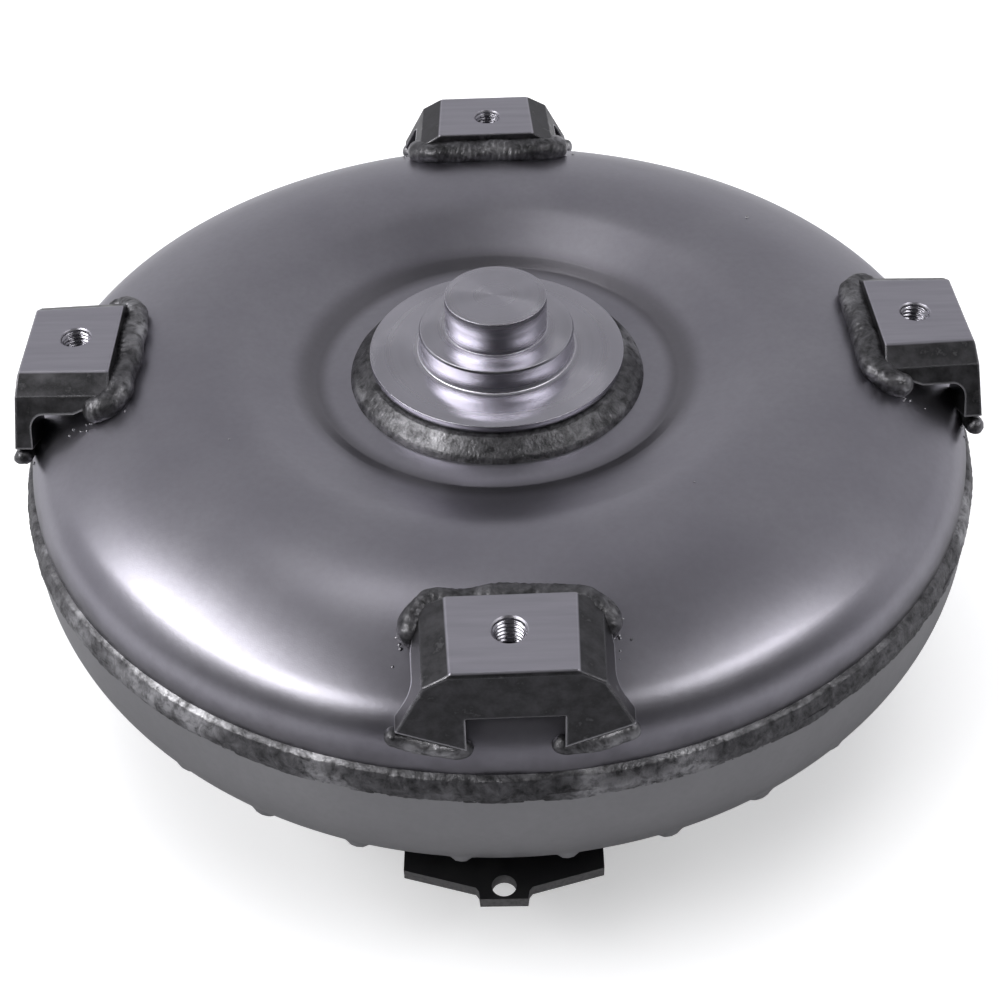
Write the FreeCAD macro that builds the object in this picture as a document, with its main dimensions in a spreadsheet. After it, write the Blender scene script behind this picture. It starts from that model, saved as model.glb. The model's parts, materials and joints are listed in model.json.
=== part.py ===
"""Torque converter: a welded three-element fluid coupling with a pilot and four drive lugs.

The rotation axis is Z, with +Z towards the engine. The origin is where the axis crosses the plane of the
four lug faces. Every length is in millimetres. The pieces are, from the outside in: the housing (front
cover, pilot hub, drive lugs, impeller shell and pump hub), the turbine, the stator with its one-way
clutch, and the three needle thrust bearings between them.
"""
import FreeCAD, Part
import math
import os
import re

import Sketcher

# The driving dimensions: name, size, and what it measures.
DIMENSIONS = [
    # front cover
    ("sheet_thick", 5.0, "wall of the pressed cover and of the impeller shell"),
    ("cover_bore_r", 43.0, "hole for the pilot hub"),
    ("valley_z", -19.5, "flat floor round the pilot hub"),
    ("valley_edge_r", 64.5, "outer edge of that floor"),
    ("ramp_r", 66.0, "foot of the ramp that climbs to the crown"),
    ("ramp_angle", 21.2, "slope of the ramp, degrees"),
    ("crown_r", 105.0, "radius of the highest ring of the dome"),
    ("crown_z", -6.3, "height of that ring"),
    ("crown_inner_arc", 50.0, "arc from the ramp to the crown"),
    ("dome_arc", 94.8, "arc from the crown to the shoulder"),
    ("shoulder_arc", 22.0, "arc from the dome to the skirt"),
    ("skirt_r", 164.5, "outside of the cover's skirt"),
    ("spigot_r", 162.6, "turned register inside the impeller shell"),
    ("spigot_end_z", -56.0, "lower end of the cover"),
    # pilot hub
    ("disc_r", 44.3, "round flange of the pilot hub"),
    ("disc_z", -9.5, "top of the flange"),
    ("disc_edge", 2.5, "height of the flange's rim"),
    ("boss_r", 26.8, "raised seat round the pilot pin"),
    ("boss_z", -0.4, "top of the seat"),
    ("pilot_r", 17.5, "pilot pin, which centres the converter in the crankshaft"),
    ("pilot_top_z", 12.3, "free end of the pilot pin"),
    ("front_seat_z", -26.0, "inside end of the pilot hub"),
    ("nose_pocket_r", 20.0, "pocket that clears the turbine hub's nose"),
    ("nose_pocket_z", -13.0, "end of that pocket"),
    # drive lugs
    ("lug_count", 4, "drive lugs"),
    ("lug_hole_r", 145.0, "radius of the lug hole circle"),
    ("lug_thread_r", 5.0, "M10 tapped hole, at the thread's major diameter"),
    ("lug_shift", 0.8, "how far the lug's middle lies beside its hole"),
    ("lug_face_in_r", 131.0, "inner edge of the machined face"),
    ("lug_face_out_r", 161.8, "outer edge of the machined face"),
    ("lug_half_width", 18.1, "half width of the machined face at the hole"),
    ("lug_taper", 0.04, "how fast the lug narrows outwards, millimetres each side per millimetre"),
    ("lug_bevel_width", 26.2, "half width at the foot of the first side slope"),
    ("lug_bevel_z", -4.6, "height there"),
    ("lug_foot_width", 34.6, "half width of the feet, at the foot of the second side slope"),
    ("lug_heel_z", -20.5, "height there, where the feet end at their outer corners"),
    ("lug_foot_z", -28.8, "lower end of the feet, beside the slot"),
    ("lug_leg_out_r", 164.6, "outside of the leg at its foot"),
    ("lug_leg_in_r", 157.6, "inside of the leg"),
    ("lug_under_z", -10.2, "underside of the lug's top plate"),
    ("lug_bend", 4.5, "inside bend between the top plate and the leg"),
    ("lug_slot_half", 14.0, "half width of the slot between the feet"),
    ("lug_slot_z", -17.0, "top of the slot"),
    ("lug_edge", 0.7, "rounding of the lug's outside edges"),
    ("foot_weld_r", 2.6, "radius of the beads under the feet"),
    ("end_weld_r", 4.3, "radius of the bead round the lug's inner end"),
    # impeller shell and pump hub
    ("rim_r", 167.8, "outside of the impeller shell, the largest diameter but for the weld"),
    ("rim_top_z", -46.0, "upper edge of the shell's rim"),
    ("bowl_z", -59.5, "where the rim starts to curve in"),
    ("bowl_arc", 48.0, "outside arc of the shell's bowl"),
    ("impeller_face_z", -85.0, "inside of the shell's flat middle"),
    ("seam_top_z", -39.8, "upper edge of the seam weld"),
    ("seam_r", 168.4, "outside of the seam weld"),
    ("hub_flange_r", 48.0, "flange of the pump hub"),
    ("hub_shoulder_r", 29.0, "shoulder that the strap sits on"),
    ("strap_z", -110.0, "engine side of the strap"),
    ("pump_hub_r", 25.0, "ground outside of the pump hub"),
    ("pump_hub_bore_r", 21.0, "inside of the pump hub"),
    ("pump_hub_end_z", -150.0, "free end of the pump hub"),
    ("drive_slot_width", 12.0, "slots that drive the oil pump"),
    ("drive_slot_depth", 11.0, "depth of the slots"),
    ("tab_count", 30, "rows of blade tabs pressed through the impeller shell"),
    ("tab_height", 1.5, "how far a tab stands out"),
    ("tab_angle", 38.0, "place of the outer row on the bowl, degrees below the rim"),
    ("tab_inner_angle", 114.0, "place of the inner row"),
    # strap
    ("strap_thick", 4.2, "plate of the transport strap"),
    ("strap_half_width", 32.5, "half width of the strap"),
    ("strap_corner_y", 147.0, "where the strap starts to taper"),
    ("strap_knee_y", 155.0, "where the taper ends"),
    ("strap_end_y", 158.4, "end of the strap"),
    ("strap_tab_half", 8.1, "half width of the end"),
    ("strap_hole_y", 153.4, "centre of the hole"),
    ("strap_hole_r", 4.0, "hole in each end"),
    ("strap_turn", -1.3, "angle of the strap to the lugs, degrees"),
    # flow passage
    ("passage_r", 116.5, "radius of the passage's centre"),
    ("passage_z", -60.0, "plane between impeller and turbine"),
    ("turbine_arc", 40.5, "outside arc of the turbine shell"),
    ("turbine_sheet", 2.0, "wall of the turbine shell"),
    ("core_arc", 14.5, "outside arc of the core rings"),
    ("core_sheet", 1.5, "wall of the core rings"),
    ("blade_sheet", 1.4, "thickness of a blade"),
    ("blade_tip_gap", 2.0, "distance from each blade row to the plane between them"),
    ("impeller_blade_count", 30, "blades of the impeller"),
    ("turbine_blade_count", 29, "blades of the turbine"),
    ("turbine_flange_z", -39.2, "engine side of the turbine shell's flat middle"),
    # turbine hub
    ("turbine_hub_r", 62.0, "flange of the turbine hub"),
    ("turbine_step_r", 46.7, "step that centres the turbine shell"),
    ("turbine_nose_r", 18.0, "nose round the front of the spline"),
    ("turbine_nose_z", -15.0, "end of that nose"),
    ("turbine_boss_z", -46.5, "rear end of the spline"),
    ("turbine_spline_r", 14.5, "root of the turbine spline"),
    ("spline_depth", 1.3, "height of the spline teeth"),
    ("turbine_teeth", 24, "teeth of the turbine spline"),
    ("rivet_circle_r", 56.0, "radius of the rivet circle"),
    ("rivet_count", 12, "rivets that hold the shell to the hub"),
    # stator and one-way clutch
    ("stator_top_z", -44.0, "engine side of the stator wheel"),
    ("stator_end_z", -79.0, "gearbox side of the stator wheel"),
    ("stator_rim_r", 76.0, "foot of the stator vanes"),
    ("stator_vane_count", 15, "stator vanes"),
    ("stator_shroud_r", 99.0, "tip of the stator vanes"),
    ("clutch_bore_r", 58.0, "bore of the stator wheel"),
    ("cap_seat_r", 61.0, "counterbore for the clutch caps"),
    ("cap_thick", 3.0, "clutch caps"),
    ("ring_groove_r", 62.8, "grooves of the snap rings"),
    ("cap_gap", 1.6, "depth of the cap's face below the wheel's face"),
    ("cap_bore_r", 22.0, "hole in the clutch caps"),
    ("inner_race_r", 38.0, "track of the inner race"),
    ("race_spline_r", 19.5, "root of the stator spline"),
    ("race_teeth", 32, "teeth of the stator spline"),
    ("roller_r", 4.0, "clutch rollers"),
    ("roller_count", 10, "clutch rollers"),
    ("outer_race_bore_r", 40.5, "lands of the outer race"),
    ("spring_pocket", 7.5, "length of a spring pocket"),
    ("race_end_gap", 0.4, "end clearance of the inner race"),
    # thrust bearings
    ("race_plate", 1.0, "thrust race washers"),
    ("needle_gap", 2.6, "space between two race washers"),
    ("needle_r", 1.2, "needle radius"),
    ("needle_count", 30, "needles in a bearing"),
    ("front_bearing_in_r", 22.0, "bore of the front bearing"),
    ("front_bearing_out_r", 36.0, "outside of the front bearing"),
    ("stator_bearing_in_r", 33.0, "bore of the two bearings beside the stator"),
    ("stator_bearing_out_r", 46.0, "outside of those bearings"),
]

document = FreeCAD.newDocument("torque_converter")
sheet = document.addObject("Spreadsheet::Sheet", "Dims")
for row, (alias, size, note) in enumerate(DIMENSIONS, start=1):
    sheet.set("A%d" % row, alias)
    sheet.set("B%d" % row, str(size))
    sheet.set("C%d" % row, note)
    sheet.setAlias("B%d" % row, alias)
document.recompute()

ALIASES = {alias for alias, size, note in DIMENSIONS}
parts = []


# ---------------------------------------------------------------- helpers

def formula(text):
    """An expression of dimension names, with the sheet's name put before each of them."""
    return re.sub(r"[a-z][a-z_]*", lambda m: "Dims." + m.group() if m.group() in ALIASES else m.group(), str(text))


def value(text):
    """The number that an expression of dimension names stands for."""
    result = sheet.evalExpression(formula(text))
    return float(getattr(result, "Value", result))


def plane_of(body, role):
    """One of a body's own origin planes or axes."""
    return next(item for item in body.Origin.OriginFeatures if item.Role == role)


def new_body(label):
    body = document.addObject("PartDesign::Body", label)
    body.Label = label
    body.AllowCompound = True
    return body


def finish_part(piece):
    """Count a finished object as one of the converter's pieces."""
    parts.append(piece)
    return piece


def new_sketch(body, role, name):
    sketch = body.newObject("Sketcher::SketchObject", name)
    sketch.AttachmentSupport = (plane_of(body, role), [""])
    sketch.MapMode = "FlatFace"
    return sketch


def arc_through(start, end, radius):
    """The short arc between two points. A positive radius has its centre on the left of the way."""
    chord = end - start
    half = chord.Length / 2
    sag = abs(radius) - math.sqrt(max(radius * radius - half * half, 0))
    right = FreeCAD.Vector(chord.y, -chord.x, 0).normalize()
    middle = (start + end) * 0.5 + right * (sag if radius > 0 else -sag)
    return Part.Arc(start, middle, end)


def outline(sketch, corners):
    """Draw a closed outline whose every corner and radius is bound to the sheet.

    A corner is (x, y), reached by a straight line, or (x, y, radius), reached by an arc.
    """
    first = sketch.GeometryCount
    points = [FreeCAD.Vector(value(corner[0]), value(corner[1]), 0) for corner in corners]
    constraints = []
    bindings = []
    for index, corner in enumerate(corners):
        edge = first + index
        start, end = points[index - 1], points[index]
        if len(corner) == 3:
            sketch.addGeometry(arc_through(start, end, value(corner[2])))
        else:
            sketch.addGeometry(Part.LineSegment(start, end))
    for index, corner in enumerate(corners):
        edge = first + index
        following = first + (index + 1) % len(corners)
        # Part.Arc may run the other way round, so the end that lies on the corner is looked up.
        end_pos = nearest_end(sketch, edge, points[index])
        start_pos = nearest_end(sketch, following, points[index])
        constraints.append(Sketcher.Constraint("Coincident", edge, end_pos, following, start_pos))
        for kind, text, size in (("DistanceX", corner[0], points[index].x), ("DistanceY", corner[1], points[index].y)):
            bindings.append((len(constraints), text))
            constraints.append(Sketcher.Constraint(kind, -1, 1, edge, end_pos, size))
        if len(corner) == 3:
            bindings.append((len(constraints), "abs(%s)" % corner[2]))
            constraints.append(Sketcher.Constraint("Radius", edge, abs(value(corner[2]))))
    offset = sketch.ConstraintCount
    sketch.addConstraint(constraints)
    for number, text in bindings:
        sketch.setExpression("Constraints[%d]" % (offset + number), formula(text))


def nearest_end(sketch, edge, point):
    """1 for the start or 2 for the end of an edge, whichever lies on the point."""
    return min((1, 2), key=lambda pos: (sketch.getPoint(edge, pos) - point).Length)


def circle(sketch, x, y, radius):
    """Draw a circle whose centre and radius are bound to the sheet."""
    edge = sketch.addGeometry(Part.Circle(FreeCAD.Vector(value(x), value(y), 0), FreeCAD.Vector(0, 0, 1), value(radius)))
    for kind, text in (("DistanceX", x), ("DistanceY", y)):
        number = sketch.addConstraint(Sketcher.Constraint(kind, -1, 1, edge, 3, value(text)))
        sketch.setExpression("Constraints[%d]" % number, formula(text))
    number = sketch.addConstraint(Sketcher.Constraint("Radius", edge, value(radius)))
    sketch.setExpression("Constraints[%d]" % number, formula(radius))


def revolve(body, corners, kind="Revolution"):
    """Turn an outline, drawn as (radius, height), about Z: as new material or as a groove."""
    sketch = new_sketch(body, "XZ_Plane", "Section")
    outline(sketch, corners)
    feature = body.newObject("PartDesign::" + kind, kind)
    feature.Profile = sketch
    feature.ReferenceAxis = (sketch, ["V_Axis"])
    feature.Angle = 360
    document.recompute()
    return feature


def turned(label, *sections):
    """A piece that is a solid of revolution, or several that share a node."""
    body = new_body(label)
    for corners in sections:
        revolve(body, corners)
    return body


def extrude(body, role, draw, length, both_ways=False, cut=False, reverse=False, through=False, offset=None):
    """Pad or pocket whatever draw() puts on one of the body's origin planes."""
    sketch = new_sketch(body, role, "Profile")
    if offset is not None:
        sketch.setExpression("AttachmentOffset.Base.z", formula(offset))
    draw(sketch)
    feature = body.newObject("PartDesign::Pocket" if cut else "PartDesign::Pad", "Cut" if cut else "Pad")
    feature.Profile = sketch
    if through:
        feature.Type = "ThroughAll"
    else:
        feature.setExpression("Length", formula(length))
    feature.Midplane = both_ways
    feature.Reversed = reverse
    before = body.Shape.Volume if cut else 0
    document.recompute()
    if cut and not feature.Shape.Volume < before:
        raise RuntimeError(body.Label + ": the pocket removed nothing")
    return feature


def around(body, feature, count):
    """Repeat a feature round Z."""
    pattern = body.newObject("PartDesign::PolarPattern", "Around")
    pattern.Originals = feature if isinstance(feature, list) else [feature]
    pattern.Axis = (plane_of(body, "Z_Axis"), [""])
    pattern.Angle = 360
    pattern.setExpression("Occurrences", formula(count))
    body.Tip = pattern
    document.recompute()
    return pattern


def rectangle(x0, x1, y0, y1):
    return [(x0, y0), (x1, y0), (x1, y1), (x0, y1)]


def soften(body, feature, pick, size, kind="Fillet"):
    """Round or chamfer the edges of a feature that pick(edge) chooses."""
    names = ["Edge%d" % (n + 1) for n, edge in enumerate(feature.Shape.Edges) if pick(edge)]
    if not names:
        raise RuntimeError(body.Label + ": no edge to soften")
    softened = body.newObject("PartDesign::" + kind, kind)
    softened.Base = (feature, names)
    if kind == "Fillet":
        softened.Radius = size
    else:
        softened.Size = size
    body.Tip = softened
    document.recompute()
    return softened


def ring_edge(radius, height):
    """Chooses the circular edges of one radius at one height."""
    def pick(edge):
        return (isinstance(edge.Curve, Part.Circle) and abs(edge.Curve.Radius - value(radius)) < 0.01
                and abs(edge.Curve.Center.z - value(height)) < 0.01)
    return pick


# ---------------------------------------------------------------- the cover's section, as formulas

DOME_Z = "(crown_z - dome_arc)"
SHOULDER_R = "(skirt_r - shoulder_arc)"
SHOULDER_Z = "(%s + sqrt((dome_arc - shoulder_arc)^2 - (%s - crown_r)^2))" % (DOME_Z, SHOULDER_R)
RAMP_TOP = "(crown_z - crown_inner_arc)"
RAMP_Z = ("(crown_z - crown_inner_arc * (1 - cos(ramp_angle))"
          " - (crown_r - crown_inner_arc * sin(ramp_angle) - ramp_r) * tan(ramp_angle))")


def dome_points(depth):
    """Corners of the cover from the ramp's top to the skirt, on the surface that lies depth below the outside."""
    arc = "(crown_inner_arc - %s)" % depth
    dome = "(dome_arc - %s)" % depth
    shoulder = "(shoulder_arc - %s)" % depth
    lean_r = "(%s - crown_r) / (dome_arc - shoulder_arc)" % SHOULDER_R
    lean_z = "(%s - %s) / (dome_arc - shoulder_arc)" % (SHOULDER_Z, DOME_Z)
    return [
        ("crown_r - %s * sin(ramp_angle)" % arc, "%s + %s * cos(ramp_angle)" % (RAMP_TOP, arc)),
        ("crown_r", "crown_z - %s" % depth, "-" + arc),
        ("crown_r + %s * %s" % (dome, lean_r), "%s + %s * %s" % (DOME_Z, dome, lean_z), "-" + dome),
        ("skirt_r - %s" % depth, SHOULDER_Z, "-" + shoulder),
    ]


def make_front_cover():
    """Pressed dome: flat floor, ramp, crown, dome, shoulder and skirt, with a turned spigot."""
    outside = dome_points("0")
    inside = dome_points("sheet_thick")
    # Walked backwards, each arc belongs to the corner at its other end and curves the other way.
    back = [(inside[n][0], inside[n][1], inside[n + 1][2].replace("-", "", 1)) for n in (2, 1, 0)]
    ramp_foot = ("ramp_r + sheet_thick * sin(ramp_angle) - (%s - sheet_thick * cos(ramp_angle)"
                 " - valley_z + sheet_thick) / tan(ramp_angle)" % RAMP_Z)
    cover = turned("front_cover", [
        ("cover_bore_r", "valley_z"), ("valley_edge_r", "valley_z"), ("ramp_r", RAMP_Z)] + outside + [
        ("skirt_r", "rim_top_z"), ("spigot_r", "rim_top_z"), ("spigot_r", "spigot_end_z"),
        ("skirt_r - sheet_thick", "spigot_end_z"), inside[3][:2]] + back + [
        (ramp_foot, "valley_z - sheet_thick"), ("cover_bore_r", "valley_z - sheet_thick")])
    return finish_part(cover)


def make_pilot_hub():
    """Turned steel hub: pilot pin, seat and flange outside, bearing seat and clearance pocket inside."""
    fillet = "1.5"
    hub = turned("pilot_hub", [
        ("0", "pilot_top_z"), ("pilot_r - 1", "pilot_top_z"), ("pilot_r", "pilot_top_z - 1"),
        ("pilot_r", "boss_z"), ("boss_r - 1.2", "boss_z"), ("boss_r", "boss_z - 1.2"),
        ("boss_r", "disc_z + " + fillet), ("boss_r + " + fillet, "disc_z", fillet),
        ("disc_r - 0.5", "disc_z"), ("disc_r", "disc_z - 0.5"),
        ("disc_r", "disc_z - disc_edge"), ("cover_bore_r", "disc_z - disc_edge"),
        ("cover_bore_r", "front_seat_z"), ("nose_pocket_r", "front_seat_z"),
        ("nose_pocket_r", "nose_pocket_z"), ("0", "nose_pocket_z")])
    return finish_part(hub)


def make_pilot_weld():
    """Cone-shaped weld from the pilot hub's flange down to the cover's floor."""
    return finish_part(turned("pilot_weld", [
        ("cover_bore_r", "disc_z - disc_edge - 0.3"), ("cover_bore_r + 2.8", "disc_z - disc_edge - 0.3"),
        ("cover_bore_r + 9.5", "valley_z", "12"),
        ("cover_bore_r", "valley_z")]))


def make_drive_lug(label, azimuth):
    """Saddle-shaped lug: a tapped pad on the dome with a slotted leg down to the shoulder."""
    body = new_body(label)

    def side(sketch):
        outline(sketch, [
            ("lug_face_in_r", "0"), ("lug_face_out_r - 0.8", "0"), ("lug_face_out_r", "-1.2"),
            ("lug_leg_out_r", "lug_foot_z"), ("lug_leg_in_r", "lug_foot_z"),
            ("lug_leg_in_r", "lug_under_z - lug_bend"), ("lug_leg_in_r - lug_bend", "lug_under_z", "lug_bend"),
            ("lug_face_in_r + 12", "lug_under_z"), ("lug_face_in_r - 1", "lug_bevel_z - 1")])

    extrude(body, "XZ_Plane", side, "2 * lug_foot_width + 4", both_ways=True)

    # The flank is drawn on the plane of the axis, so the taper over the whole radius is added to it.
    shift = " + lug_taper * lug_hole_r"

    def flank(sketch):
        outline(sketch, [
            ("lug_half_width" + shift, "1"), ("lug_half_width" + shift, "0"),
            ("lug_bevel_width" + shift, "lug_bevel_z"), ("lug_foot_width" + shift, "lug_heel_z"),
            ("lug_slot_half" + shift, "lug_foot_z"), ("lug_slot_half" + shift, "lug_foot_z - 1"),
            ("2 * lug_foot_width" + shift, "lug_foot_z - 1"), ("2 * lug_foot_width" + shift, "1")])

    cut = extrude(body, "YZ_Plane", flank, "2 * lug_hole_r", cut=True, reverse=True)
    cut.UseCustomVector = True
    cut.Direction = FreeCAD.Vector(1, -value("lug_taper"), 0)
    cut.Reversed = False
    cut.AlongSketchNormal = False
    document.recompute()
    mirror = body.newObject("PartDesign::Mirrored", "OtherFlank")
    mirror.Originals = [cut]
    mirror.MirrorPlane = (plane_of(body, "XZ_Plane"), [""])
    body.Tip = mirror
    document.recompute()

    def slot(sketch):
        outline(sketch, rectangle("-lug_slot_half", "lug_slot_half", "lug_foot_z - 1", "lug_slot_z"))

    extrude(body, "YZ_Plane", slot, "2 * lug_hole_r", cut=True, reverse=True)
    dome = dome_points("0")
    revolve(body, dome + [("skirt_r", "lug_foot_z - 20"), (dome[0][0], "lug_foot_z - 20")], kind="Groove")

    def hole(sketch):
        circle(sketch, "sqrt(lug_hole_r^2 - lug_shift^2)", "-lug_shift", "lug_thread_r")

    def outside_edge(edge):
        # The straight edges of the face and the bevels, and the long corners of the leg.
        ends = [vertex.Point for vertex in edge.Vertexes]
        low = min(end.z for end in ends)
        on_bevel = low > value("lug_bevel_z") - 0.05
        on_leg = low > value("lug_heel_z") - 0.05 and min(end.x for end in ends) > value("lug_face_out_r")
        return isinstance(edge.Curve, Part.Line) and edge.Length > 1 and (on_bevel or on_leg)

    drilled = extrude(body, "XY_Plane", hole, "30", cut=True)
    mouth = soften(body, drilled, ring_edge("lug_thread_r", "0"), 0.5, kind="Chamfer")
    soften(body, mouth, outside_edge, value("lug_edge"))
    # The whole lug is turned a little, so that its hole lies exactly on the bolt circle's quarter.
    skew = math.degrees(math.asin(value("lug_shift / lug_hole_r")))
    body.Placement = FreeCAD.Placement(FreeCAD.Vector(), FreeCAD.Rotation(FreeCAD.Vector(0, 0, 1), azimuth + skew))
    return finish_part(body)


def bead(points, radius):
    """A round weld bead along a few straight runs."""
    pieces = [Part.makeSphere(radius, point) for point in points]
    for start, end in zip(points, points[1:]):
        pieces.append(Part.makeCylinder(radius, (end - start).Length, start, end - start))
    return pieces[0].fuse(pieces[1:])


def dome_height(radius):
    """Height of the cover's outside surface over the dome and the shoulder."""
    arc_r, arc_z, arc = value("crown_r"), value(DOME_Z), value("dome_arc")
    if radius > value("crown_r + dome_arc * (%s - crown_r) / (dome_arc - shoulder_arc)" % SHOULDER_R):
        arc_r, arc_z, arc = value(SHOULDER_R), value(SHOULDER_Z), value("shoulder_arc")
    return arc_z + math.sqrt(max(arc * arc - (radius - arc_r) ** 2, 0))


def make_lug_welds():
    """Beads under the two feet of each lug and round its inner end."""
    in_r, foot = value("lug_face_in_r"), value("lug_foot_width")
    slot, leg_r = value("lug_slot_half"), value("lug_leg_in_r")
    heel_z, foot_z = value("lug_heel_z"), value("lug_foot_z")
    # Each run is a list of (distance out along the lug, distance across it, height).
    under = [(leg_r + 4.4, slot + 0.5, foot_z - 0.8), (leg_r + 4.2, (slot + foot) / 2, (foot_z + heel_z) / 2 - 1.6),
             (leg_r + 3.4, foot - 0.5, heel_z - 2.4)]
    half = [(8, 28.3), (1, 27.4), (-2.6, 21)]
    end = [(in_r + out, across, dome_height(math.hypot(in_r + out, across)) + 3.2) for out, across in half]
    runs = [(under, "foot_weld_r"), ([(r, -across, z) for r, across, z in under], "foot_weld_r"),
            (end + [(r, -across, z) for r, across, z in end[::-1]], "end_weld_r")]
    shapes = []
    for number in range(int(value("lug_count"))):
        turn = FreeCAD.Rotation(FreeCAD.Vector(0, 0, 1), number * 360 / value("lug_count"))
        shapes += [bead([turn.multVec(FreeCAD.Vector(*point)) for point in run], value(size)) for run, size in runs]
    welds = document.addObject("Part::Feature", "lug_welds")
    welds.Label = "lug_welds"
    welds.Shape = Part.Compound(shapes)
    return finish_part(welds)


def make_seam_weld():
    """Circumferential weld that joins the cover's skirt to the impeller shell."""
    return finish_part(turned("seam_weld", [
        ("skirt_r", "seam_top_z"), ("seam_r - 1.9", "seam_top_z - 0.7"), ("seam_r", "rim_top_z + 1", "-6"),
        ("seam_r", "rim_top_z - 1.5"), ("rim_r", "rim_top_z - 3.2", "-3"), ("rim_r", "rim_top_z"),
        ("skirt_r", "rim_top_z")]))


# Heights of the bearing seats follow from the stator's faces and the bearings' total thickness.
BEARING = "(2 * race_plate + needle_gap)"
TURBINE_FRONT = "(front_seat_z - %s)" % BEARING
FRONT_CAP = "(stator_top_z - cap_gap)"
REAR_CAP = "(stator_end_z + cap_gap)"
TURBINE_REAR = "(%s + %s)" % (FRONT_CAP, BEARING)
REAR_SEAT = "(%s - %s)" % (REAR_CAP, BEARING)
BOWL_R = "(rim_r - bowl_arc)"
FLOW_ARC = "(bowl_arc - sheet_thick)"


def make_impeller_shell():
    """Pressed bowl of the impeller, with the marks of the blade tabs round its outside."""
    outer_z = "(impeller_face_z - sheet_thick)"
    outer_r = "(%s - sqrt(bowl_arc^2 - (bowl_z - %s)^2))" % (BOWL_R, outer_z)
    inner_r = "(%s - sqrt(%s^2 - (bowl_z - impeller_face_z)^2))" % (BOWL_R, FLOW_ARC)
    body = turned("impeller_shell", [
        ("rim_r", "rim_top_z"), ("rim_r", "bowl_z"), (BOWL_R, "bowl_z - bowl_arc", "-bowl_arc"),
        (outer_r, outer_z, "-bowl_arc"), ("hub_flange_r + 0.2", outer_z), ("hub_flange_r + 0.2", "impeller_face_z"),
        (inner_r, "impeller_face_z"), (BOWL_R, "bowl_z - " + FLOW_ARC, FLOW_ARC),
        ("rim_r - sheet_thick", "bowl_z", FLOW_ARC), ("rim_r - sheet_thick", "rim_top_z")])
    for angle in ("tab_angle", "tab_inner_angle"):
        tab = body.newObject("PartDesign::AdditiveEllipsoid", "Tab")
        tab.setExpression("Radius1", formula("tab_height * 2"))
        tab.setExpression("Radius2", formula("tab_height * 4"))
        tab.setExpression("Radius3", formula("tab_height * 2"))
        slope = value(angle)
        reach = value("bowl_arc - tab_height")
        tab.Placement = FreeCAD.Placement(
            FreeCAD.Vector(value(BOWL_R) + reach * math.cos(math.radians(slope)), 0,
                           value("bowl_z") - reach * math.sin(math.radians(slope))),
            FreeCAD.Rotation(FreeCAD.Vector(0, 1, 0), 90 + slope))
        body.Tip = tab
        document.recompute()
        around(body, tab, "tab_count")
    return finish_part(body)


def make_pump_hub():
    """Flanged tube that carries the converter in the pump and drives it through two slots."""
    body = turned("impeller_hub", [
        ("pump_hub_bore_r", REAR_SEAT), ("hub_flange_r", REAR_SEAT), ("hub_flange_r", "impeller_face_z - sheet_thick"),
        ("hub_shoulder_r + 3", "impeller_face_z - sheet_thick"),
        ("hub_shoulder_r", "impeller_face_z - sheet_thick - 3", "3"), ("hub_shoulder_r", "strap_z"),
        ("pump_hub_r", "strap_z"), ("pump_hub_r", "strap_z - strap_thick - 0.1"),
        ("pump_hub_r - 1.5", "strap_z - strap_thick - 0.1"), ("pump_hub_r - 1.5", "strap_z - strap_thick - 2.1"),
        ("pump_hub_r", "strap_z - strap_thick - 2.1"), ("pump_hub_r", "pump_hub_end_z + 1.5"),
        ("pump_hub_r - 1.5", "pump_hub_end_z"), ("pump_hub_bore_r + 0.8", "pump_hub_end_z"),
        ("pump_hub_bore_r", "pump_hub_end_z + 0.8")])

    def slots(sketch):
        outline(sketch, rectangle("-drive_slot_width / 2", "drive_slot_width / 2", "pump_hub_end_z - 1",
                                  "pump_hub_end_z + drive_slot_depth"))

    extrude(body, "XZ_Plane", slots, "4 * pump_hub_r", both_ways=True, cut=True)
    return finish_part(body)


def make_hub_weld():
    """Bead round the joint between the pump hub's flange and the shell."""
    under = "impeller_face_z - sheet_thick"
    return finish_part(turned("impeller_hub_weld", [
        ("hub_flange_r - 3", under, "-4"), ("hub_flange_r + 3.4", under),
        ("hub_flange_r + 0.2", under + " - 2.2", "-4")]))


def make_strap():
    """Flat transport strap across the back, with a hole in each tapered end and an eye for the pump hub."""
    body = new_body("transport_strap")

    def plan(sketch):
        outline(sketch, [
            ("strap_half_width", "-strap_corner_y"), ("strap_half_width", "strap_corner_y"),
            ("strap_tab_half + 1", "strap_knee_y - 1"), ("strap_tab_half", "strap_knee_y + 0.5"),
            ("strap_tab_half - 0.4", "strap_end_y"), ("-strap_tab_half + 0.4", "strap_end_y"),
            ("-strap_tab_half", "strap_knee_y + 0.5"), ("-strap_tab_half - 1", "strap_knee_y - 1"),
            ("-strap_half_width", "strap_corner_y"), ("-strap_half_width", "-strap_corner_y"),
            ("-strap_tab_half - 1", "-strap_knee_y + 1"), ("-strap_tab_half", "-strap_knee_y - 0.5"),
            ("-strap_tab_half + 0.4", "-strap_end_y"), ("strap_tab_half - 0.4", "-strap_end_y"),
            ("strap_tab_half", "-strap_knee_y - 0.5"), ("strap_tab_half + 1", "-strap_knee_y + 1")])
        circle(sketch, "0", "0", "pump_hub_r + 0.3")
        circle(sketch, "0", "strap_hole_y", "strap_hole_r")
        circle(sketch, "0", "-strap_hole_y", "strap_hole_r")

    extrude(body, "XY_Plane", plan, "strap_thick", offset="strap_z - strap_thick")
    body.Placement = FreeCAD.Placement(
        FreeCAD.Vector(), FreeCAD.Rotation(FreeCAD.Vector(0, 0, 1), value("strap_turn")))
    return finish_part(body)


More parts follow.
